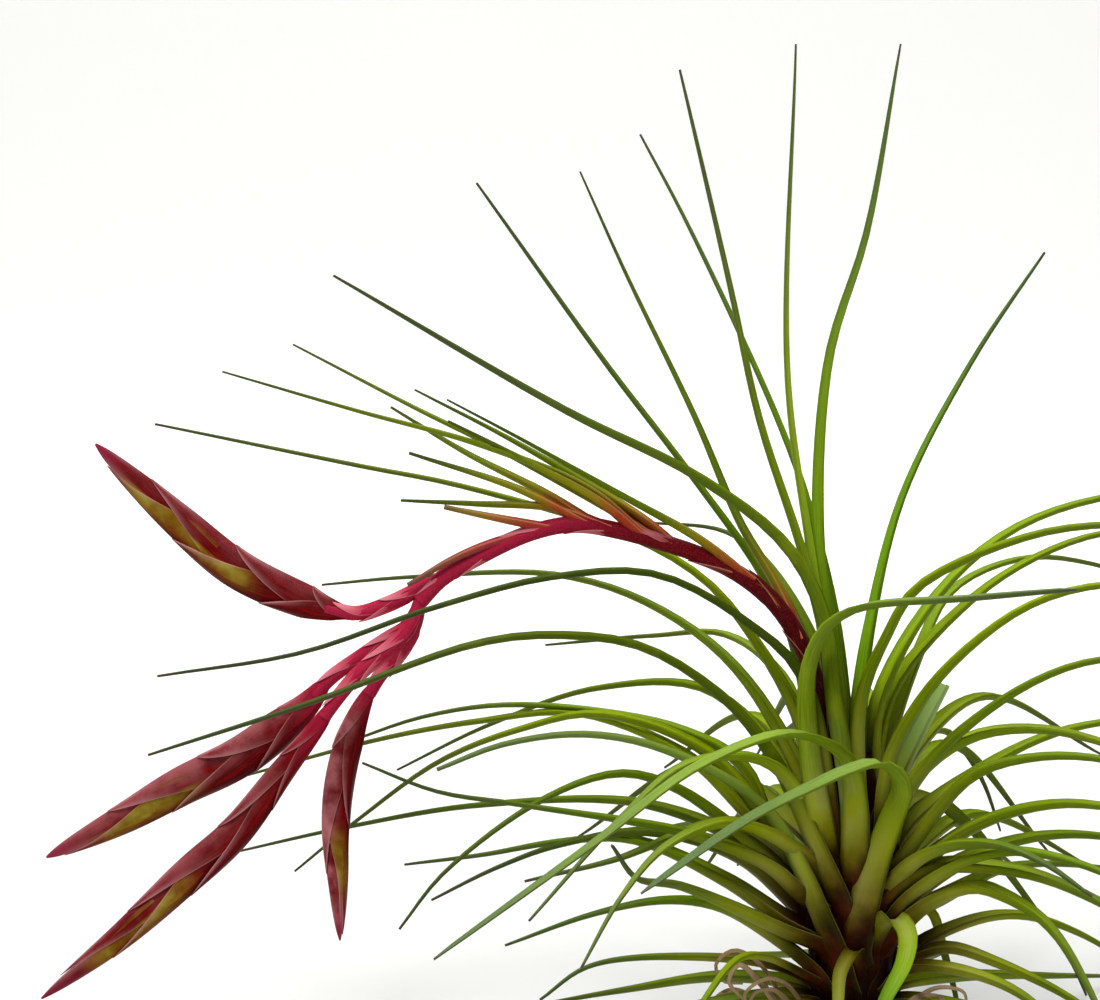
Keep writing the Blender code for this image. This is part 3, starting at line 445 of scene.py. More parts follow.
# Leaves: height of the root on the stem, blade width, then the points of the midrib from the sheath to the tip
leafPoints = {
    "upright_1": (42, 2.2, [(-5, 6, 74), (-9, 8, 102), (-14, 13, 140), (-12, 25, 206)]),
    "upright_2": (42, 3.6, [(-3, 5, 74), (-7, 9, 105), (-5, 16, 142), (3, 22, 168), (10, 30, 206)]),
    "upright_3": (42, 3.0, [(-5, 4, 76), (-11, 5, 103), (-20, 8, 131), (-26, 10, 158), (-36, 15, 201)]),
    "upright_4": (42, 2.2, [(-4, 11, 88), (-9, 18, 112), (-15, 24, 129), (-33, 38, 168), (-43, 45, 187)]),
    "upright_5": (42, 2.6, [(-13, 7, 86), (-19, 8, 99), (-34, 11, 120), (-51, 15, 142), (-77, 22, 178)]),
    "upright_6": (38.5, 5.2, [(-3.2, -8, 56), (-6.4, -8, 76), (-9, -7.8, 95), (-16, -9, 108), (-33, -13, 122),
        (-59, -18, 136), (-103, -25, 163)]),
    "upright_7": (42, 3.0, [(2, 4, 73), (4, 7, 90), (10, 10, 115), (24, 15, 142), (39, 20, 164)]),
    "left_0": (40, 2.4, [(-12, 6, 70), (-23, 9, 89), (-31, 10, 98), (-45, 12, 106), (-80, 17, 116),
        (-102, 20, 120), (-144, 25, 128)]),
    "left_1": (40, 2.6, [(-12, -8, 81), (-22, -10, 92), (-41, -13, 103), (-61, -15, 103), (-85, -19, 97.5),
        (-110, -25, 90), (-137, -32, 87)]),
    "left_2": (25, 3.6, [(-4.5, -8, 34), (-9, -8.5, 45), (-18, -10, 65), (-28, -12, 78), (-44, -16, 89),
        (-61, -19, 92), (-76, -22, 91), (-109, -31, 81), (-138, -40, 73.5)]),
    "left_3": (36, 3.0, [(-12, 7, 59), (-25, 10, 80), (-42, 14, 92), (-61, 17, 97.5), (-91, 23, 96),
        (-110, 28, 93.5)]),
    "left_4": (30, 2.6, [(-16, 6, 42), (-23, 8, 59), (-35, 10, 66), (-52, 13, 69.5), (-72, 17, 70),
        (-89, 21, 66.5), (-106, 24, 60)]),
    "left_5": (28, 2.8, [(-14, 2, 40), (-24, 3, 52), (-35, 6, 62), (-56, 13, 69), (-77, 19, 66), (-98, 24, 61),
        (-128, 32, 51)]),
    "left_6": (30, 2.8, [(-15, 3, 44), (-31, 5, 63), (-52, 8, 70), (-68, 12, 66), (-85, 17, 58), (-102, 20, 45),
        (-116, 22, 33)]),
    "left_7": (15, 3.2, [(-5.5, -8.5, 24), (-9, -9.5, 33), (-13, -9, 43), (-20, -8, 55), (-39, -11, 67),
        (-55, -14, 71), (-71, -18, 70), (-84, -22, 66)]),
    "left_8": (26, 2.2, [(-12, -8, 36), (-19, -10, 43), (-36, -14, 51), (-68, -22, 59), (-84, -27, 63),
        (-98, -32, 70)]),
    "left_9": (24, 2.4, [(-13, 1, 35), (-23, 2, 44), (-43, 8, 51), (-77, 19, 48), (-106, 27, 41),
        (-129, 34, 34)]),
    "left_10": (26, 2.6, [(-13, -2, 37), (-23, -4, 47), (-37, -6, 58), (-48, -8, 61.5), (-63, -10, 57),
        (-83, -14, 43), (-92, -16, 32)]),
    "left_11": (20, 2.8, [(-15, -6, 30), (-27, -4, 38), (-45, -2, 46), (-60, 1, 45), (-76, 4, 41.5),
        (-92, 6, 39)]),
    "left_12": (22, 2.4, [(-13, 0, 32), (-24, -1, 42), (-42, -3, 48), (-60, -3, 45.5), (-73, -4, 41),
        (-86, -6, 35)]),
    "left_13": (28, 2.4, [(-12, -5, 41), (-25, -8, 51), (-50, -15, 45.5), (-67, -20, 43)]),
    "left_14": (11, 2.4, [(-8.5, -6, 19.5), (-17, -7, 27), (-28, -7, 33.5), (-39, -9, 35.5), (-53, -11, 33.5),
        (-71, -14, 28)]),
    "left_15": (17, 2.6, [(-8, -7, 25), (-15, -10, 29), (-36, -18, 41), (-45, -22, 44), (-50, -26, 52)]),
    "left_16": (28, 2.2, [(-9, -7, 41), (-25, -15, 53), (-39, -24, 51), (-48, -31, 43), (-56, -38, 31)]),
    "left_17": (14, 1.6, [(-14, -5, 20), (-32, -8, 23.5), (-54, -12, 23), (-64, -15, 17)]),
    "left_18": (14, 1.8, [(-10, -9, 20), (-24, -22, 28), (-33, -30, 20), (-42, -38, 8), (-45, -41, 0.7)]),
    "rear_1": (36, 2.6, [(-9, 10, 58), (-14, 18, 75), (-25, 31, 82), (-40, 40, 80), (-63, 50, 76)]),
    "rear_2": (32, 2.6, [(-13, 8, 56), (-29, 16, 73), (-52, 24, 72), (-75, 31, 62.5), (-95, 38, 51)]),
    "rear_3": (40, 2.4, [(-6, 11, 78), (-16, 22, 98), (-25, 32, 104), (-41, 45, 104)]),
    "rear_4": (30, 2.6, [(8, 8, 44), (15, 13, 50.5), (25, 20, 43.6), (33, 26, 34), (42, 31, 22), (51, 35, 9),
        (55, 37, 0.7)]),
    "rear_5": (30, 2.4, [(4, 8, 45), (12, 24, 58), (22, 36, 60), (27, 42, 55), (33, 48, 45.5), (38, 54, 33)]),
    "front_1": (38, 5.0, [(-5.8, -9, 50), (-10, -11.5, 73), (-10.2, -13, 84.5), (-7.6, -15.5, 92.5),
        (-3.5, -18, 96.5), (1, -21, 98.5), (17, -30, 101.5), (37, -38, 105)]),
    "front_2": (17, 5.0, [(-2.4, -10.2, 26), (1.5, -11.5, 43), (5, -14, 54), (7, -16, 61), (3, -20, 66.5),
        (-4, -24, 66), (-11, -28, 64), (-24, -37, 60), (-45, -52, 50)]),
    "front_3": (32, 4.0, [(-2.4, -9.8, 44), (-2.2, -11.6, 57), (-4, -15, 66), (-15, -26, 74), (-34, -40, 71),
        (-53, -52, 60), (-69, -62, 51), (-83, -70, 43)]),
    "front_4": (32, 2.6, [(-8, -6, 46), (-19, -14, 65), (-35, -22, 67), (-46, -28, 60), (-66, -40, 41)]),
    "front_5": (16, 4.0, [(2, -8, 24), (6, -14, 33), (9, -18, 31.5), (8, -21, 26), (4, -25, 20), (-2, -31, 8),
        (-5, -34, 0.8)]),
    "front_6": (14, 1.8, [(0, -9, 20), (-1, -13, 26), (-4, -17, 23), (-4.5, -19, 18.7), (-5, -22, 10)]),
    "right_1": (40, 3.4, [(5, 3, 70), (10, 5, 84), (20, 8, 98), (33, 11, 108), (51, 16, 113.5), (78, 24, 114),
        (108, 33, 107)]),
    "right_2": (41, 3.4, [(1, -4, 75), (6, -5.5, 90), (11, -7, 99), (30, -11, 109.5), (46, -14, 113),
        (75, -20, 112), (102, -26, 103)]),
    "right_3": (38, 2.6, [(8, 8, 64), (14, 14, 80), (22, 24, 92.5), (38, 33, 98), (56, 42, 95), (85, 56, 82)]),
    "right_4": (38, 3.0, [(6, 6, 66), (10, 9, 77), (25, 16, 92), (38, 22, 99.5), (53, 28, 104), (80, 38, 104),
        (104, 46, 97)]),
    "right_5": (36, 3.2, [(7, -5, 63), (13, -7, 77), (22, -9, 88), (33, -11, 96.5), (46, -14, 101),
        (72, -20, 101), (98, -27, 91)]),
    "right_6": (34, 3.6, [(9, 4, 55), (13, 6, 64), (19.5, 9, 76)]),
    "right_7": (32, 2.8, [(6, -6, 46), (10, -8, 57), (18, -11, 69), (33, -16, 82), (46, -20, 87.5),
        (70, -28, 88), (94, -36, 78)]),
    "right_8": (30, 3.6, [(8, -5, 48), (12, -6.5, 60), (22, -8, 68.5), (34, -10, 71), (47, -12, 69),
        (70, -16, 60), (88, -20, 47)]),
    "right_9": (26, 2.8, [(8, 3, 38), (13, 5, 47.5), (29, 9, 59), (40, 12, 64), (52, 15, 66.5), (78, 22, 66),
        (103, 29, 56)]),
    "right_10": (26, 2.8, [(7, -7, 38), (12, -9, 48), (22, -13, 62), (32, -16, 66.5), (46, -20, 67.5),
        (70, -27, 61), (90, -33, 49)]),
    "right_11": (24, 3.0, [(8, -6, 34), (13, -8, 42), (22, -11, 50.5), (34, -14, 56), (46, -18, 57.5),
        (70, -25, 52), (92, -32, 38)]),
    "right_12": (20, 2.6, [(7, 2, 26), (13, 4, 32), (25, 8, 39), (38, 12, 42.5), (53, 16, 42), (78, 23, 34),
        (98, 30, 20)]),
    "right_13": (20, 2.4, [(7, -6, 28), (11, -9, 36), (21, -17, 46), (30, -21, 49), (45, -28, 47),
        (64, -36, 37), (78, -43, 24)]),
    "right_14": (22, 2.4, [(6, -7, 34), (13, -14, 46), (24, -23, 51), (33, -30, 49.6), (42, -36, 44.6)]),
    "right_15": (24, 3.4, [(7, -7, 35), (15, -10, 42), (22, -12, 43), (34, -16, 42.5), (47, -20, 38),
        (66, -26, 27), (80, -31, 14)]),
    "right_16": (18, 2.8, [(8, -6, 26), (14, -9, 34), (22, -12, 38.7), (27, -15, 38.4), (36, -19, 33.6),
        (45, -24, 20), (52, -29, 0.8)]),
    "right_17": (13, 2.2, [(9, 2, 17), (14, 4, 21.6), (25, 7, 26), (33, 9, 27), (41, 11, 25.4), (53, 14, 19.5),
        (66, 18, 9), (74, 21, 0.7)]),
    "right_18": (12, 2.2, [(8, -1, 17), (13, -2, 21.4), (19, -3, 23.5), (29, -5, 21), (43, -8, 15),
        (58, -12, 5), (64, -14, 0.8)]),
    "right_19": (12, 2.0, [(7, -6, 16), (10, -9, 21), (20, -15, 22.6), (32, -20, 19), (44, -26, 8),
        (50, -29, 0.8)]),
    "right_20": (14, 1.6, [(6, 5, 20), (13, 11, 28), (17.5, 15, 26), (21, 18, 16), (24, 20, 6), (25, 21, 0.8)]),
}
# A leaf's looks are drawn from the ranges under luck, unless its own value stands under the same word
leaves = {
    "rootDepth": 2.9, "tipWidth": 0.35, "tipThick": 0.35, "steps": 38, "inroll": 1.7, "claspRise": 5.2,
    "claspLift": 0.1, "seed": 11, "luck": {"dark": (0, 0.25), "scurfy": (0.05, 0.35), "bright": (0, 0.2)},
    "blunt": {"right_6": 0.75, "left_7": 0.3}, "ribbon": {"front_1": 0.32, "front_2": 0.42, "front_3": 0.5},
    "dark": {"left_1": 0.9, "left_2": 0.75, "upright_3": 0.45, "left_12": 0.6, "left_9": 0.5, "rear_3": 0.6,
             "front_1": 0.15, "upright_6": 0.42, "upright_5": 0.5, "upright_4": 0.4, "left_0": 0.4},
    "scurfy": {"front_1": 1.0, "front_2": 1.0, "front_3": 0.8, "front_4": 0.6, "left_3": 0.7, "left_4": 0.4,
               "left_16": 0.7, "left_15": 0.5, "right_8": 0.7, "right_15": 0.6, "rear_1": 0.6, "rear_4": 0.5},
    "bright": {"front_5": 1.0, "upright_6": 0.1, "upright_7": 0.8, "upright_4": 0.5, "right_6": 0.6,
               "right_1": 0.3, "left_14": 0.5, "upright_5": 0.4},
    "pale": {"right_6": 0.8, "left_7": 0.15},
    "clasp": {"upright_6": 1.0, "front_1": 1.3, "front_3": 1.3, "left_7": 1.4, "left_2": 1.2, "front_2": 1.6,
              "left_17": 0.3, "left_18": 0.1, "front_6": 0.4, "right_17": 0.5, "right_18": 0.5, "right_19": 0.5,
              "right_20": 0.4, "left_14": 0.7, "left_13": 0.8, "right_13": 0.8, "front_5": 0.45, "low": 0.55},
    "brown": {"upright_6": 0.42, "front_1": 0.75, "front_3": 0.9, "front_2": 1.3, "left_7": 1.2, "low": 0.4},
}
# The sizes are the height of the root, the height of the crest and the reach outwards: each is given as its
# value on the lowest rear leaf and what the highest one adds to it
rearLeaf = {"count": 15, "from": 38.0, "to": 140.0, "blade": 2.8, "sizes": [(16, 22), (32, 38), (92, -16)],
            "drop": (0.35, 0.75), "sway": 8}
lowLeaf = {"count": 9, "turn": -14.0, "sway": 6, "blade": 2.4, "root": 10.5, "reach": 78, "stray": 9}


def leafLine(name, rootHeight, blade, points, draw):
    outward = Vector((points[0][0], points[0][1], 0)).normalized()
    root = outward * (shootRadius(rootHeight) - leaves["rootDepth"]) + Vector((0, 0, rootHeight))
    clasp = rootHeight + leaves["claspRise"]
    if points[0][2] > clasp + 2:           # the sheath lies on the shoot's side before the leaf bends away
        points = [outward * (shootRadius(clasp) + leaves["claspLift"]) + Vector((0, 0, clasp)), *points]
    tip = blade * leaves["blunt"][name] if name in leaves["blunt"] else leaves["tipWidth"]
    looks = {"tone": draw.random(), "pale": leaves["pale"].get(name, 0.0),
             "brown": leaves["brown"].get(name, 1.0)}
    looks |= {trait: leaves[trait].get(name, draw.uniform(*span)) for trait, span in leaves["luck"].items()}
    return bladeLine([root, *points], blade, tip, leaves["steps"], taper=leaves["ribbon"].get(name, 0.75),
                     inroll=1.0 if name in leaves["ribbon"] else leaves["inroll"],
                     clasp=leaves["clasp"].get(name), **looks)


def rearLeaves(draw):                      # arch away behind the stem, in the order that they spiral up it
    found = []
    for i in range(rearLeaf["count"]):
        turn = rearLeaf["from"] + (rearLeaf["to"] - rearLeaf["from"]) * ((i * 0.618) % 1.0)
        rank = i / (rearLeaf["count"] - 1)
        root, crest, reach = (low + gain * rank for low, gain in rearLeaf["sizes"])
        crest += draw.uniform(-3, 3)
        reach += draw.uniform(-8, 8)
        drop = crest * draw.uniform(*rearLeaf["drop"])
        sway = draw.uniform(-rearLeaf["sway"], rearLeaf["sway"])
        found.append((root, rearLeaf["blade"],
                      [polar(9, turn, root + 12), polar(reach * 0.22, turn, crest * 0.86),
                       polar(reach * 0.5, turn + sway * 0.4, crest), polar(reach, turn + sway, drop)]))
    return found


def lowLeaves(draw):                       # spread flat and touch the surface with their tips
    found = []
    for i in range(lowLeaf["count"]):
        turn = 360.0 * i / lowLeaf["count"] + lowLeaf["turn"] + draw.uniform(-lowLeaf["sway"], lowLeaf["sway"])
        reach = lowLeaf["reach"] + draw.uniform(-lowLeaf["stray"], lowLeaf["stray"])
        found.append((lowLeaf["root"], lowLeaf["blade"],
                      [polar(11, turn, 12.5), polar(30, turn, 11.5), polar(reach * 0.72, turn + 3, 6),
                       polar(reach, turn + 6, 0.7)]))
    return found


def leafFinish():
    f = Finish("greenLeaf")
    reach, along, across, face = f.readsAll("reach along across face")
    tone, dark, scurfy, bright = f.readsAll("tone dark scurfy bright")
    fromRoot = reach * 1000                # in millimetres
    browned = fromRoot / f.reads("brown")
    margin = across.does("ABSOLUTE")       # 0 on the midrib, 1 at the edge
    middle = 1 - margin
    veins = f.noise(f.point(across * 9, fromRoot * 0.05, tone * 40), 2.2)
    mottle = f.noise(f.place(), 90.0, 4.0)
    fleck = f.noise(f.place(), 2600.0, 2.0).ramp(0.52, 0.7)
    haze = (fromRoot + mottle * 8).ramp(17.0, 26.0) * (fromRoot + mottle * 12).ramp(50.0, 28.0)
    haze = haze * mottle.ramp(0.3, 0.6) * (middle * 0.32 + 0.04)
    olive = f.blend(veins, rgb(116, 119, 0), rgb(176, 174, 18))
    chestnutAndShade = f.blend(mottle.ramp(0.35, 0.7), rgb(28, 8, 2), rgb(76, 30, 8))
    down = (fleck * 0.6 + 0.4) * scurfy * (face.ramp(-0.1, 0.3) * 0.8 + 0.2) * fromRoot.ramp(30.0, 58.0)
    green = f.coats(
        f.blend(tone, rgb(113, 138, 0), rgb(170, 190, 0)),
        (bright, (128, 184, 0)),
        (dark, (50, 60, 4)),
        (face.ramp(0.1, -0.6) * 0.45, (44, 58, 0)),                        # underside painted darker: painted shade
        (veins.ramp(0.42, 0.62) * 0.45, (60, 76, 0)),
        (mottle.ramp(0.5, 0.75) * 0.3, (146, 154, 20)),
        ((along + mottle * 0.3 - 0.15).ramp(0.4, 1.0) * 0.8, (54, 60, 44)),     # greyer to the tip
        ((along + mottle * 0.02).ramp(0.985, 1.0), (72, 62, 46)),          # dry point
        ((browned + mottle * 14).ramp(50.0, 22.0) * 0.75, olive),
        (haze, (164, 160, 112)),
        # the chestnut leaf bases are partly their own colour and partly a painted shade that darkens the
        # crevices between the leaves
        ((browned + mottle * 9 + middle * 4).ramp(35.0, 17.0), chestnutAndShade),
        (f.reads("pale") * fromRoot.ramp(24.0, 40.0), (166, 196, 112)),
        # painted shade: the margins are painted darker towards the root, where the leaves overlap
        (margin.ramp(0.72, 0.97) * fromRoot.ramp(70.0, 30.0) * 0.45, (48, 52, 4)),
        (margin.ramp(0.95, 0.99) * fromRoot.ramp(40.0, 20.0) * 0.35, (150, 140, 80)),
        (down * 0.5, (126, 160, 122)))
    rough = veins * 0.12 + down * 0.3 + 0.4
    return f.ends(green, rough, veins + fleck * 0.25, 0.35, 0.12 * mm)


draw = random.Random(leaves["seed"])
ruled = [("rear", *values) for values in rearLeaves(draw)] + [("low", *values) for values in lowLeaves(draw)]
shade = random.Random(leaves["seed"] + 1)
leafLines = [leafLine(name, *values, shade) for name, values in leafPoints.items()]
leafLines += [leafLine(*values, shade) for values in ruled]
greenLeaf = leafFinish()
leafRosette = bladeSweep.run("leafBlades", leafLines, tipThick=leaves["tipThick"] * mm, finish=greenLeaf)


# Packed sheaths that clothe the shoot between the leaves' feet
sheaths = {"count": 36, "from": 9.0, "to": 44.0, "turn": 137.5, "width": 9.0, "reach": 5, "blade": 8.4,
           "tip": 0.4, "tall": (11, 15), "out": (0.6, 1.6), "steps": 16, "sides": 14, "seed": 5}


def sheathLines():
    draw = random.Random(sheaths["seed"])
    found = []
    for i in range(sheaths["count"]):
        turn = i * sheaths["turn"]
        low = sheaths["from"] + (sheaths["to"] - sheaths["from"]) * i / (sheaths["count"] - 1)
        low += draw.uniform(-1, 1)
        tall = draw.uniform(*sheaths["tall"])
        out = draw.uniform(*sheaths["out"])
        points = [polar(shootRadius(low + rise) + stand, turn + twist, low + rise)
                  for rise, stand, twist in ((0, -0.9, 0), (5, -0.1, 0), (9, 0.4, 2), (tall, out, 4))]
        found.append(bladeLine(points, sheaths["blade"], sheaths["tip"], sheaths["steps"], clasp=1.0, taper=0.5,
                               tone=draw.random()))
    return found


def shootMesh():                           # the shoot itself, which shows only as darkness between the sheaths
    rings = [[Vector(polar(radius - 0.5, 15 * j, height)) * mm for j in range(24)]
             for radius, height in shootProfile]
    return loft("shootCore", rings)


def loft(name, rings):                     # closes a stack of rings into one shell
    mesh = bpy.data.meshes.new(name)
    count = len(rings[0])
    shell = bmesh.new()
    rows = [[shell.verts.new(p) for p in ring] for ring in rings]
    for low, high in zip(rows, rows[1:]):
        for j in range(count):
            shell.faces.new((low[j], low[(j + 1) % count], high[(j + 1) % count], high[j]))
    shell.faces.new(rows[0])
    shell.faces.new(rows[-1])
    bmesh.ops.recalc_face_normals(shell, faces=shell.faces)
    for side in shell.faces:
        side.smooth = len(side.verts) == 4
    shell.to_mesh(mesh)
    shell.free()
    return added(name, mesh)


def sheathFinish():
    f = Finish("chestnutSheath")
    along, across, reach, tone = f.readsAll("along across reach tone")
    grain = f.noise(f.point(across * 12, reach * 60, tone * 30), 2.0, 4.0)
    blotch = f.noise(f.place(), 160.0, 4.0)
    colour = f.coats(
        f.blend(grain.ramp(0.35, 0.7), rgb(16, 6, 4), rgb(44, 18, 8)),
        ((along + blotch * 0.4).ramp(0.9, 1.3) * 0.5, (76, 66, 14)),
        (across.does("ABSOLUTE").ramp(0.86, 0.99) * 0.3, (84, 54, 36)))
    return f.ends(colour, grain * 0.2 + 0.35, grain, 0.4, 0.15 * mm)


chestnutSheath = sheathFinish()
sheathScales = bladeSweep.run("sheathScales", sheathLines(), sheathWidth=sheaths["width"] * mm,
                              sheathReach=sheaths["reach"] * mm, sides=sheaths["sides"], finish=chestnutSheath)
shootCore = shootMesh()
shootCore.data.materials.append(chestnutSheath)


# Woody stem foot: radius and height pairs up its side, and how deep its ridges are
stem = {"profile": [(6.3, 0.0), (6.9, 0.5), (7.0, 2.0), (6.9, 4.0), (7.0, 6.0), (6.5, 7.4), (6.2, 8.0)],
        "sides": 48, "ridges": 0.22, "grain": 0.12, "seed": 3}


def stemMesh():
    draw = random.Random(stem["seed"])
    sides = stem["sides"]
    ruts = [abs(draw.uniform(-1, 1) * stem["ridges"]) for _ in range(sides)]
    rings = [[Vector(polar(radius - rut - draw.uniform(0, stem["grain"]), 360 / sides * j, height)) * mm
              for j, rut in enumerate(ruts)] for radius, height in stem["profile"]]
    return loft("woodyFoot", rings)


def stemFinish():
    f = Finish("woodyStem")
    fibre = f.noise(f.place() * (1.0, 1.0, 0.15), 900.0, 5.0)
    stain = f.noise(f.place(), 220.0, 3.0)
    colour = f.coats(f.blend(fibre.ramp(0.35, 0.7), rgb(52, 34, 24), rgb(122, 92, 66)),
                     (stain.ramp(0.5, 0.7) * 0.6, (40, 26, 20)))
    return f.ends(colour, fibre * 0.15 + 0.75, fibre, 0.6, 0.3 * mm)


woodyFoot = stemMesh()
woodyFoot.data.materials.append(stemFinish())


# Withered leaves: broad and slim curled blades placed one by one, and a collar of papery dead sheaths
curls = [
    {"width": 2.2, "tip": 0.5, "clasp": 0.4, "twist": 140, "points": [
        [(-7.1, -3.5, 5), (-14, -7, 11), (-20, -12, 20), (-24, -14, 24), (-26, -13, 20), (-23, -12, 16)],
        [(-3.3, -7.2, 5), (-6, -14, 9), (-9, -20, 15), (-12, -23, 13), (-11, -21, 9)],
        [(-7.7, 1.8, 4), (-16, 4, 8), (-24, 6, 12), (-28, 7, 9), (-26, 6, 6)],
        [(6.7, -4.3, 5), (13, -9, 11), (19, -12, 15), (23, -14, 13), (22, -13, 9)],
        [(0.9, 7.8, 4), (1, 16, 9), (2, 24, 11), (-1, 28, 8), (-2, 26, 5)],
        [(7.8, 0.9, 4), (16, 2, 9), (22, 2, 9), (26, 3, 5.5), (24, 3, 3)],
    ]},
    {"width": 1.5, "tip": 0.4, "clasp": 0.3, "twist": 160, "points": [
        [(-6.5, -4, 6), (-12, -8, 12), (-17, -12, 18), (-21, -13, 17.5), (-21.5, -12, 13.5), (-18, -11, 12.5)],
        [(-6, -5, 6), (-11, -9, 14), (-15, -12, 19.5), (-19, -14, 21), (-23, -14, 18), (-22, -13, 14.5)],
        [(-7, -3, 6), (-15, -7, 15), (-20, -10, 23), (-25, -11, 26), (-28.5, -10, 23), (-27, -9, 19),
            (-23, -9, 18.5)],
        [(5, -6, 6), (9, -10, 13), (12, -13, 17), (16, -14, 17.5), (18, -13, 14.5), (15, -12, 12.5)],
        [(6, -5, 6), (11, -9, 14), (16, -12, 18.5), (21, -13, 18), (22, -12, 14)],
        [(1, -7.5, 6), (4, -13, 12), (8, -17, 15), (13, -18, 14), (14, -17, 11), (11, -16, 9.5)],
    ]},
]
withered = {"curlSteps": 40, "scales": 18, "turn": 137.5, "width": 2.4, "tip": 0.5, "steps": 20, "seed": 8}


def witheredLines():
    draw = random.Random(withered["seed"])
    found = []
    for kind in curls:
        for points in kind["points"]:
            looks = {"tone": draw.random(), "spin": draw.uniform(-kind["twist"], kind["twist"])}
            found.append(bladeLine(points, kind["width"], kind["tip"], withered["curlSteps"],
                                   clasp=kind["clasp"], **looks))
    for i in range(withered["scales"]):
        turn = i * withered["turn"]
        low = 1.9 + 3.0 * (i % 3) / 2      # in three tiers
        points = [polar(6.2, turn, low - 0.6), polar(7.6, turn + 1, low + 0.8), polar(8.3, turn + 3, low + 2.8),
                  polar(8.9, turn + 7, low + 5),
                  polar(9.5 + draw.uniform(0, 5), turn + 14, low + 6 + draw.uniform(0, 2)),
                  polar(12 + draw.uniform(0, 7), turn + 24, low + 4 + draw.uniform(0, 5))]
        found.append(bladeLine(points, withered["width"], withered["tip"], withered["steps"], clasp=0.7,
                               tone=draw.random(), spin=draw.uniform(-60, 60)))
    return found


def witheredFinish():
    f = Finish("witheredLeaf")
    across, tone, reach = f.readsAll("across tone reach")
    fibre = f.noise(f.point(across * 10, reach * 80, tone * 20), 2.6, 4.0)
    blotch = f.noise(f.place(), 240.0, 4.0)
    colour = f.coats(
        f.blend(tone, rgb(168, 142, 104), rgb(208, 184, 146)),
        (fibre.ramp(0.4, 0.65) * 0.7, (112, 84, 56)),
        (blotch.ramp(0.5, 0.7) * 0.7, (80, 54, 38)),
        (across.does("ABSOLUTE").ramp(0.75, 0.98) * 0.5, (70, 48, 34)))
    return f.ends(colour, fibre * 0.2 + 0.65, fibre, 0.6, 0.2 * mm)


witheredLeaves = bladeSweep.run("witheredLeaves", witheredLines(), sheathWidth=5.0 * mm, sheathReach=8 * mm,
                                sheathThick=0.6 * mm, bladeThick=0.5 * mm, tipThick=0.35 * mm, fold=1.2,
                                sheathFold=0.9, sides=10, finish=witheredFinish())


# Each spike's size, the part of its length over which its foot widens, and the points of its axis
spikePoints = {
    "spike_1": (1.0, 0.15, [(-102, -2, 92.8), (-112, 0, 95.7), (-125, 1, 101.8), (-136, 3, 110.6),
        (-146, 4, 119.6), (-153.4, 5, 126.6)]),
    "spike_2": (1.05, 0.2, [(-106.6, 0.7, 79.1), (-112.5, 2, 72.5), (-125, 3, 62.6), (-138, 5, 55.6),
        (-150, 6, 48.5), (-166, 8, 40)]),
    "spike_3": (0.92, 0.5, [(-105, -6.4, 76.1), (-109.4, -6.6, 70), (-116, -7, 61.6), (-125, -9, 50),
        (-135, -11, 41.2), (-147, -12, 30.2), (-164, -14, 17)]),
    "spike_4": (0.76, 0.25, [(-96.8, 1, 79.1), (-100.3, 1, 73), (-103.4, 1, 64), (-105.2, 1, 55),
        (-105.7, 0.5, 46.5), (-105.3, 0, 38), (-104.9, -1, 25)]),
}

# Flower stalk, its branches and the leaf-like bracts that leave it: blade width, then the points of the midrib
stalkPoints = [(-3, -0.8, 58), (-5, -1.2, 66), (-8, -2, 78), (-12, -3, 88), (-18, -3, 96.5), (-25, -3, 102),
    (-32, -3, 105.3), (-40, -3, 108), (-48, -3, 110.2), (-57, -3, 111.6), (-66, -3, 109.8), (-78, -3, 104),
    (-84, -3, 100.3), (-88, -3, 96)]
branchPoints = {
    "spike_1": [(-84, -3, 100.3), (-88, -2.6, 98.4), (-95, -2.4, 95), (-101, -2.1, 93.2)],
    "spike_2": [(-88, -3, 96), (-90, -1.5, 91), (-95, -0.5, 87.5), (-100, 0, 84), (-106, 0.6, 79.6)],
    "spike_3": [(-88, -3, 96), (-90.5, -4, 90), (-95, -5, 86), (-100, -6, 82), (-104.6, -6.4, 76.6)],
    "spike_4": [(-88, -3, 96), (-89, -1.6, 91), (-91.4, 0, 86), (-94, 1, 82.4), (-96.4, 1, 79.6)],
}
stalkBractPoints = {
    "bract_1": (3.4, [(-12, -3, 88), (-17, 0, 99), (-24, 1, 111), (-33, 3, 132), (-47, 6, 161), (-56, 8, 181)]),
    "bract_2": (3.0, [(-38, -3, 107), (-50, -1, 114), (-73, 4, 126), (-88, 7, 133), (-114, 12, 146)]),
    "bract_3": (3.0, [(-42, -3, 108), (-55, -4, 119), (-76, -6, 128), (-100, -8, 135), (-126, -10, 143)]),
    "bract_4": (3.0, [(-36, -3, 106), (-44, -1, 112.5), (-68, 1, 127), (-89, 2, 138)]),
    "bract_5": (3.4, [(-22, -3, 100), (-32, -5, 108.5), (-47, -7, 117.5), (-68, -11, 130), (-82, -14, 138)]),
    "bract_6": (3.0, [(-52, -3, 110.5), (-63, 1, 117), (-79, 4, 125), (-94, 6, 134)]),
    "bract_7": (3.2, [(-44, -3, 109), (-53, -5, 117), (-71, -6, 127), (-82, -8, 133)]),
    "bract_8": (2.8, [(-54, -3, 111), (-68, -3, 118.5), (-90, -3, 126)]),
    "bract_9": (3.0, [(-50, -3, 110.5), (-61, -2, 114.5), (-76, 1, 115), (-92, 3, 115.5)]),
    "bract_10": (3.0, [(-62, -3, 110.5), (-72, -5, 113), (-83, -5, 115.5)]),
    "bract_11": (2.8, [(-68, -3, 109.2), (-76, -4.4, 107), (-82, -5, 104.5), (-90.4, -5.5, 99.8)]),
}
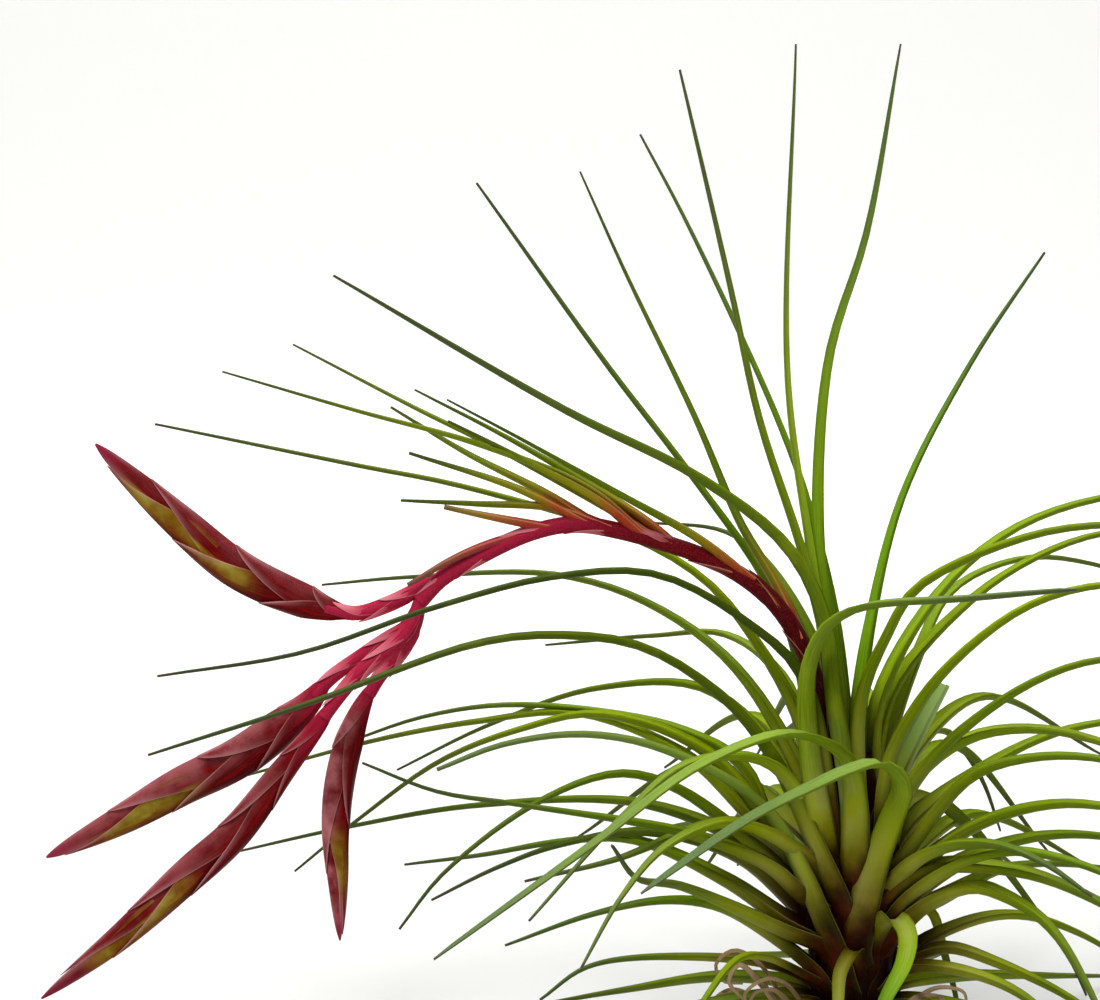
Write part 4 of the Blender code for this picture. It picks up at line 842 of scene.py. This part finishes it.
stalk = {"breadth": 1.95, "core": 1.75, "bracts": 9, "steps": 60, "branchBreadth": 1.65, "branchThick": 1.5,
         "branchCore": 1.35, "branchBracts": 3, "branchSteps": 30, "tip": 0.35, "bractSteps": 34, "seed": 21,
         "rosy": {"bract_11": 1.0, "bract_10": 0.35}}


def axisLine(points, steps):
    return smoothPath(points, steps), {}


def stalkFinish():
    f = Finish("redStalk")
    v, q, tone = f.readsAll("v q tone")
    place = f.place()
    x = f.make("ShaderNodeSeparateXYZ", None, {0: place}, "X") * 1000      # in millimetres, redder to the left
    streak = f.noise(f.point(q * 8, v * 1.4, tone * 30), 2.4, 4.0)
    fleck = f.noise(place, 3600.0, 2.0).ramp(0.45, 0.7)
    red = f.coats(
        f.blend(x.ramp(-6.5, -13.0), rgb(18, 6, 4), rgb(72, 0, 0)),
        (x.ramp(-14.0, -34.0), (104, 0, 8)),
        (x.ramp(-40.0, -70.0), (170, 26, 60)),
        (streak.ramp(0.4, 0.65) * 0.4, (84, 0, 10)),
        ((v * 0.7 + streak * 0.5).ramp(0.5, 0.9) * x.ramp(-20.0, -50.0) * 0.75, (202, 118, 130)),
        # painted shade: each sleeve is painted darker towards its foot
        (streak.ramp(0.55, 0.3) * v.ramp(0.6, 0.1) * 0.6, (66, 0, 8)),
        (q.ramp(0.6, 0.95) * x.ramp(-52.0, -30.0) * x.ramp(-8.0, -18.0) * 0.7, (146, 100, 34)),
        (q.ramp(0.88, 0.99) * v.ramp(0.3, 0.7) * 0.65, (190, 130, 130)),
        (fleck * 0.08, (180, 120, 130)))
    return f.ends(red, streak * 0.15 + fleck * 0.15 + 0.38, streak + fleck * 0.3, 0.3, 0.12 * mm)


def stalkBractFinish():
    f = Finish("greenTippedBract")
    reach, along, across, tone = f.readsAll("reach along across tone")
    fromRoot = reach * 1000
    veins = f.noise(f.point(across * 9, fromRoot * 0.05, tone * 40), 2.2)
    mottle = f.noise(f.place(), 120.0, 4.0)
    fleck = f.noise(f.place(), 2600.0, 2.0).ramp(0.52, 0.7)
    colour = f.coats(
        f.blend(tone, rgb(78, 100, 0), rgb(122, 136, 6)),
        (veins.ramp(0.42, 0.62) * 0.4, (58, 80, 2)),
        ((along + mottle * 0.3 - 0.15).ramp(0.5, 1.0) * 0.8, (48, 56, 28)),
        ((fromRoot + mottle * 10).ramp(34.0, 14.0) * 0.7, (150, 134, 8)),
        ((fromRoot + mottle * 10).ramp(22.0, 8.0) * 0.9, (158, 28, 30)),
        (f.reads("rosy") * 0.85, f.blend(along, rgb(170, 34, 56), rgb(110, 72, 66))),
        (across.does("ABSOLUTE").ramp(0.88, 0.99) * fromRoot.ramp(36.0, 10.0) * 0.35, (206, 150, 110)),
        (fleck * 0.12, (150, 168, 130)))
    return f.ends(colour, veins * 0.12 + fleck * 0.15 + 0.4, veins + fleck * 0.25, 0.3, 0.12 * mm)


redStalk = stalkFinish()
stalkPieces = [bractRanks.run("stalkSleeves", [axisLine(stalkPoints, stalk["steps"])], count=stalk["bracts"],
                              first=0.0, span=0.84, length=0.2, breadth=stalk["breadth"] * mm,
                              thick=stalk["breadth"] * mm, core=stalk["core"] * mm, slim=0.2, coreSlim=0.2,
                              taper=0.0, flare=0.12 * mm, seed=2.0, finish=redStalk)]
for number, (name, points) in enumerate(branchPoints.items()):
    foot, above = spikePoints[name][2][:2]
    inside = Vector(foot).lerp(Vector(above), 0.5)         # a branch ends within its spike
    stalkPieces.append(bractRanks.run(
        "branchSleeves_" + name[-1], [axisLine([*points, inside], stalk["branchSteps"])],
        count=stalk["branchBracts"], first=0.0, span=0.4, length=0.55, breadth=stalk["branchBreadth"] * mm,
        thick=stalk["branchThick"] * mm, core=stalk["branchCore"] * mm, coreSlim=0.4, taper=0.0, flare=0.0,
        seed=3.0 + number, finish=redStalk))
shade = random.Random(stalk["seed"])
bractLines = [bladeLine(points, blade, stalk["tip"], stalk["bractSteps"], clasp=0.0, taper=0.85,
                        tone=shade.random(), rosy=stalk["rosy"].get(name, 0.0))
              for name, (blade, points) in stalkBractPoints.items()]
stalkBracts = bladeSweep.run("stalkBracts", bractLines, bladeThick=0.8 * mm, tipThick=0.3 * mm,
                             finish=stalkBractFinish())


# Flower spikes, their breadths for a spike of size 1, and where each one's golden patches lie along it
spikes = {
    "breadth": 4.0, "thick": 2.1, "core": 0.42, "steps": 60, "length": 0.44, "bloom": 0.1,
    "spike_1": {"count": 7, "patch": (0.28, 0.9)},
    "spike_2": {"count": 7, "patch": (0.45, 0.88), "bloom": 0.42},
    "spike_3": {"count": 8, "patch": (0.5, 0.9), "bloom": 0.22},
    "spike_4": {"count": 5, "patch": (0.55, 0.88), "length": 0.6, "bloom": 1.0},
}


def bractFinish():
    f = Finish("crimsonBract")
    v, q, s, flank, tone, patch, lie, bloom = f.readsAll("v q s flank tone patch lie bloom")
    place = f.place()
    veins = f.noise(f.point(q * 7, v * 1.2, tone * 30), 2.6, 4.0)
    cloud = f.noise(place, 110.0, 4.0)
    fleck = f.noise(place, 3600.0, 2.0).ramp(0.45, 0.7)
    # the upper side turns mauve: partly scurf, partly painted light on the side where the light falls
    upper = lie.ramp(-0.2, -0.95) * (cloud.ramp(0.25, 0.6) * 0.5 + 0.5)
    lower = flank.ramp(-0.1, 0.1).does("MAXIMUM", lie.ramp(0.0, 0.25))
    ripe = patch * lower * (cloud * 2.0 - 0.3).does("MINIMUM", 0.8)
    gold = f.blend(cloud.ramp(0.35, 0.6), rgb(104, 96, 4), rgb(138, 134, 40))
    tip = s.ramp(0.84, 1.0)
    # pale edges towards each bract's end: partly silvery scurf, partly a painted sheen
    silverAndSheen = v.ramp(0.4, 1.0) * (q.ramp(0.5, 1.0) * 0.45 + q.ramp(0.3, 0.0) * 0.45) * (1 - tip)
    red = f.coats(
        f.blend(veins.ramp(0.35, 0.65), rgb(68, 0, 0), rgb(108, 0, 4)),
        (upper * (bloom * 0.6 + 0.25), (134, 56, 64)),
        (bloom * lie.ramp(0.5, -0.6) * cloud.ramp(0.35, 0.65), (168, 98, 100)),
        (ripe * lie.ramp(-0.9, -0.1) * lie.ramp(1.3, 0.2), (124, 56, 6)),
        (ripe * lie.ramp(-0.7, 0.1) * lie.ramp(1.0, 0.1), gold),
        # painted shade: the lower margin, the spike's underside, is painted dark maroon
        (lie.ramp(0.45, 1.05) * 0.7, (50, 0, 2)),
        ((s + cloud * 0.06).ramp(0.24, 0.06) * bloom.ramp(0.1, 0.2) * 0.8, (146, 14, 46)),     # pink foot
        (tip * 0.6, (128, 34, 64)),
        (silverAndSheen, (190, 144, 146)),
        (q.ramp(0.93, 0.99) * v.ramp(0.3, 0.7) * 0.55, (186, 124, 118)),
        (fleck * (upper * 0.12 + 0.02), (160, 120, 124)))
    return f.ends(red, veins * 0.15 + fleck * 0.15 + 0.35, veins + fleck * 0.3, 0.3, 0.15 * mm)


crimsonBract = bractFinish()
spikePieces = {}
for number, (name, (size, foot, points)) in enumerate(spikePoints.items()):
    own = {**spikes, **spikes[name]}
    spikePieces[name] = bractRanks.run(
        "bracts_" + name, [axisLine(points, own["steps"])], count=own["count"], first=-0.28, span=0.92,
        length=own["length"], breadth=own["breadth"] * size * mm, thick=own["thick"] * size * mm,
        core=own["core"] * size * mm, coreEnd=0.7, foot=foot, flare=0.08 * mm, patchFrom=own["patch"][0],
        patchTo=own["patch"][1], bloom=own["bloom"], seed=10.0 + number, finish=crimsonBract)


# Every piece rides on the one body and stands for its solid
for piece, node, finish in [
        (leafRosette, "leaf_rosette", "green_leaf"), (sheathScales, "leaf_rosette", "green_leaf"),
        (shootCore, "leaf_rosette", "green_leaf"), (woodyFoot, "stem_base", "woody_stem"),
        (witheredLeaves, "dry_leaves", "withered_leaf"), (stalkBracts, "scape", "red_stalk"),
        *((piece, "scape", "red_stalk") for piece in stalkPieces),
        *((piece, name, "crimson_bract") for name, piece in spikePieces.items())]:
    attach(piece, "root")
    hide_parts(node)
print("pieces placed")


# Floor that curves up into a backdrop, in metres
room = {"front": -1.6, "back": 1.5, "rise": 2.2, "bend": 0.7, "half": 2.6, "cuts": 12}


def backdrop():
    mesh = bpy.data.meshes.new("backdrop")
    profile = [(room["front"], 0.0)]
    for i in range(room["cuts"] + 1):
        angle = math.pi / 2 * i / room["cuts"]
        profile.append((room["back"] + room["bend"] * math.sin(angle), room["bend"] * (1 - math.cos(angle))))
    profile.append((profile[-1][0], room["rise"]))
    points = [(x, y, z) for y, z in profile for x in (-room["half"], room["half"])]
    faces = [(2 * i, 2 * i + 1, 2 * i + 3, 2 * i + 2) for i in range(len(profile) - 1)]
    mesh.from_pydata(points, [], faces)
    for face in mesh.polygons:
        face.use_smooth = True
    floor = added("backdrop", mesh)
    f = Finish("paleFloor")
    paper = f.noise(f.place(), 40.0, 3.0)
    # the floor is painted darker towards the front: painted shade
    far = f.make("ShaderNodeSeparateXYZ", None, {0: f.place()}, "Y").ramp(0.0, 0.8)
    white = f.blend(far, rgb(188, 188, 186), rgb(254, 254, 251))
    floor.data.materials.append(f.ends(f.blend(paper * 0.06, white, rgb(250, 250, 247)), paper * 0.05 + 0.85,
                                       **{"Emission Color": daylight["colour"],
                                          "Emission Strength": daylight["strength"]}))


# Lights: place in metres, size and power of each lamp, and the light of the room itself
lamps = {"keyLight": ((-0.5, -0.7, 1.2), 0.7, 20), "fillLight": ((1.1, -0.9, 0.7), 1.4, 3),
         "topLight": ((0.1, 0.4, 1.4), 1.0, 14)}
lampAim = (-60, 0, 100)
daylight = {"colour": (1.0, 1.0, 0.985, 1.0), "strength": 0.26}


def facing(obj, target):                   # turns a lamp or camera towards a point
    return (target - obj.location).to_track_quat("-Z", "Y").to_euler()


backdrop()
for name, (place, size, power) in lamps.items():
    data = bpy.data.lights.new(name, "AREA")
    data.shape, data.size, data.energy = "SQUARE", size, power
    lamp = added(name, data)
    lamp.location = place
    lamp.rotation_euler = facing(lamp, Vector(lampAim) * mm)
world = bpy.data.worlds.new("softRoom")
world.use_nodes = True
world.node_tree.nodes["Background"].inputs["Color"].default_value = daylight["colour"]
world.node_tree.nodes["Background"].inputs["Strength"].default_value = daylight["strength"]
bpy.context.scene.world = world
bpy.context.scene.view_settings.view_transform = "Standard"

# Camera: the point it aims at, how far off and how high it stands, and the width that it frames there
view = {"aim": (-62, 0, 116), "distance": 600, "elevation": 9.0, "width": 220, "sensor": 36.0}
lens = bpy.data.cameras.new("camera")
lens.sensor_width = view["sensor"]
lens.lens = view["sensor"] * view["distance"] / view["width"]
lens.clip_start, lens.clip_end = 0.01, 20.0
camera = added("camera", lens)
tilt = math.radians(view["elevation"])
aim = Vector(view["aim"]) * mm
camera.location = aim + Vector((0, -math.cos(tilt), math.sin(tilt))) * view["distance"] * mm
camera.rotation_euler = facing(camera, aim)
bpy.context.scene.camera = camera
print("backdrop, lights and camera placed")
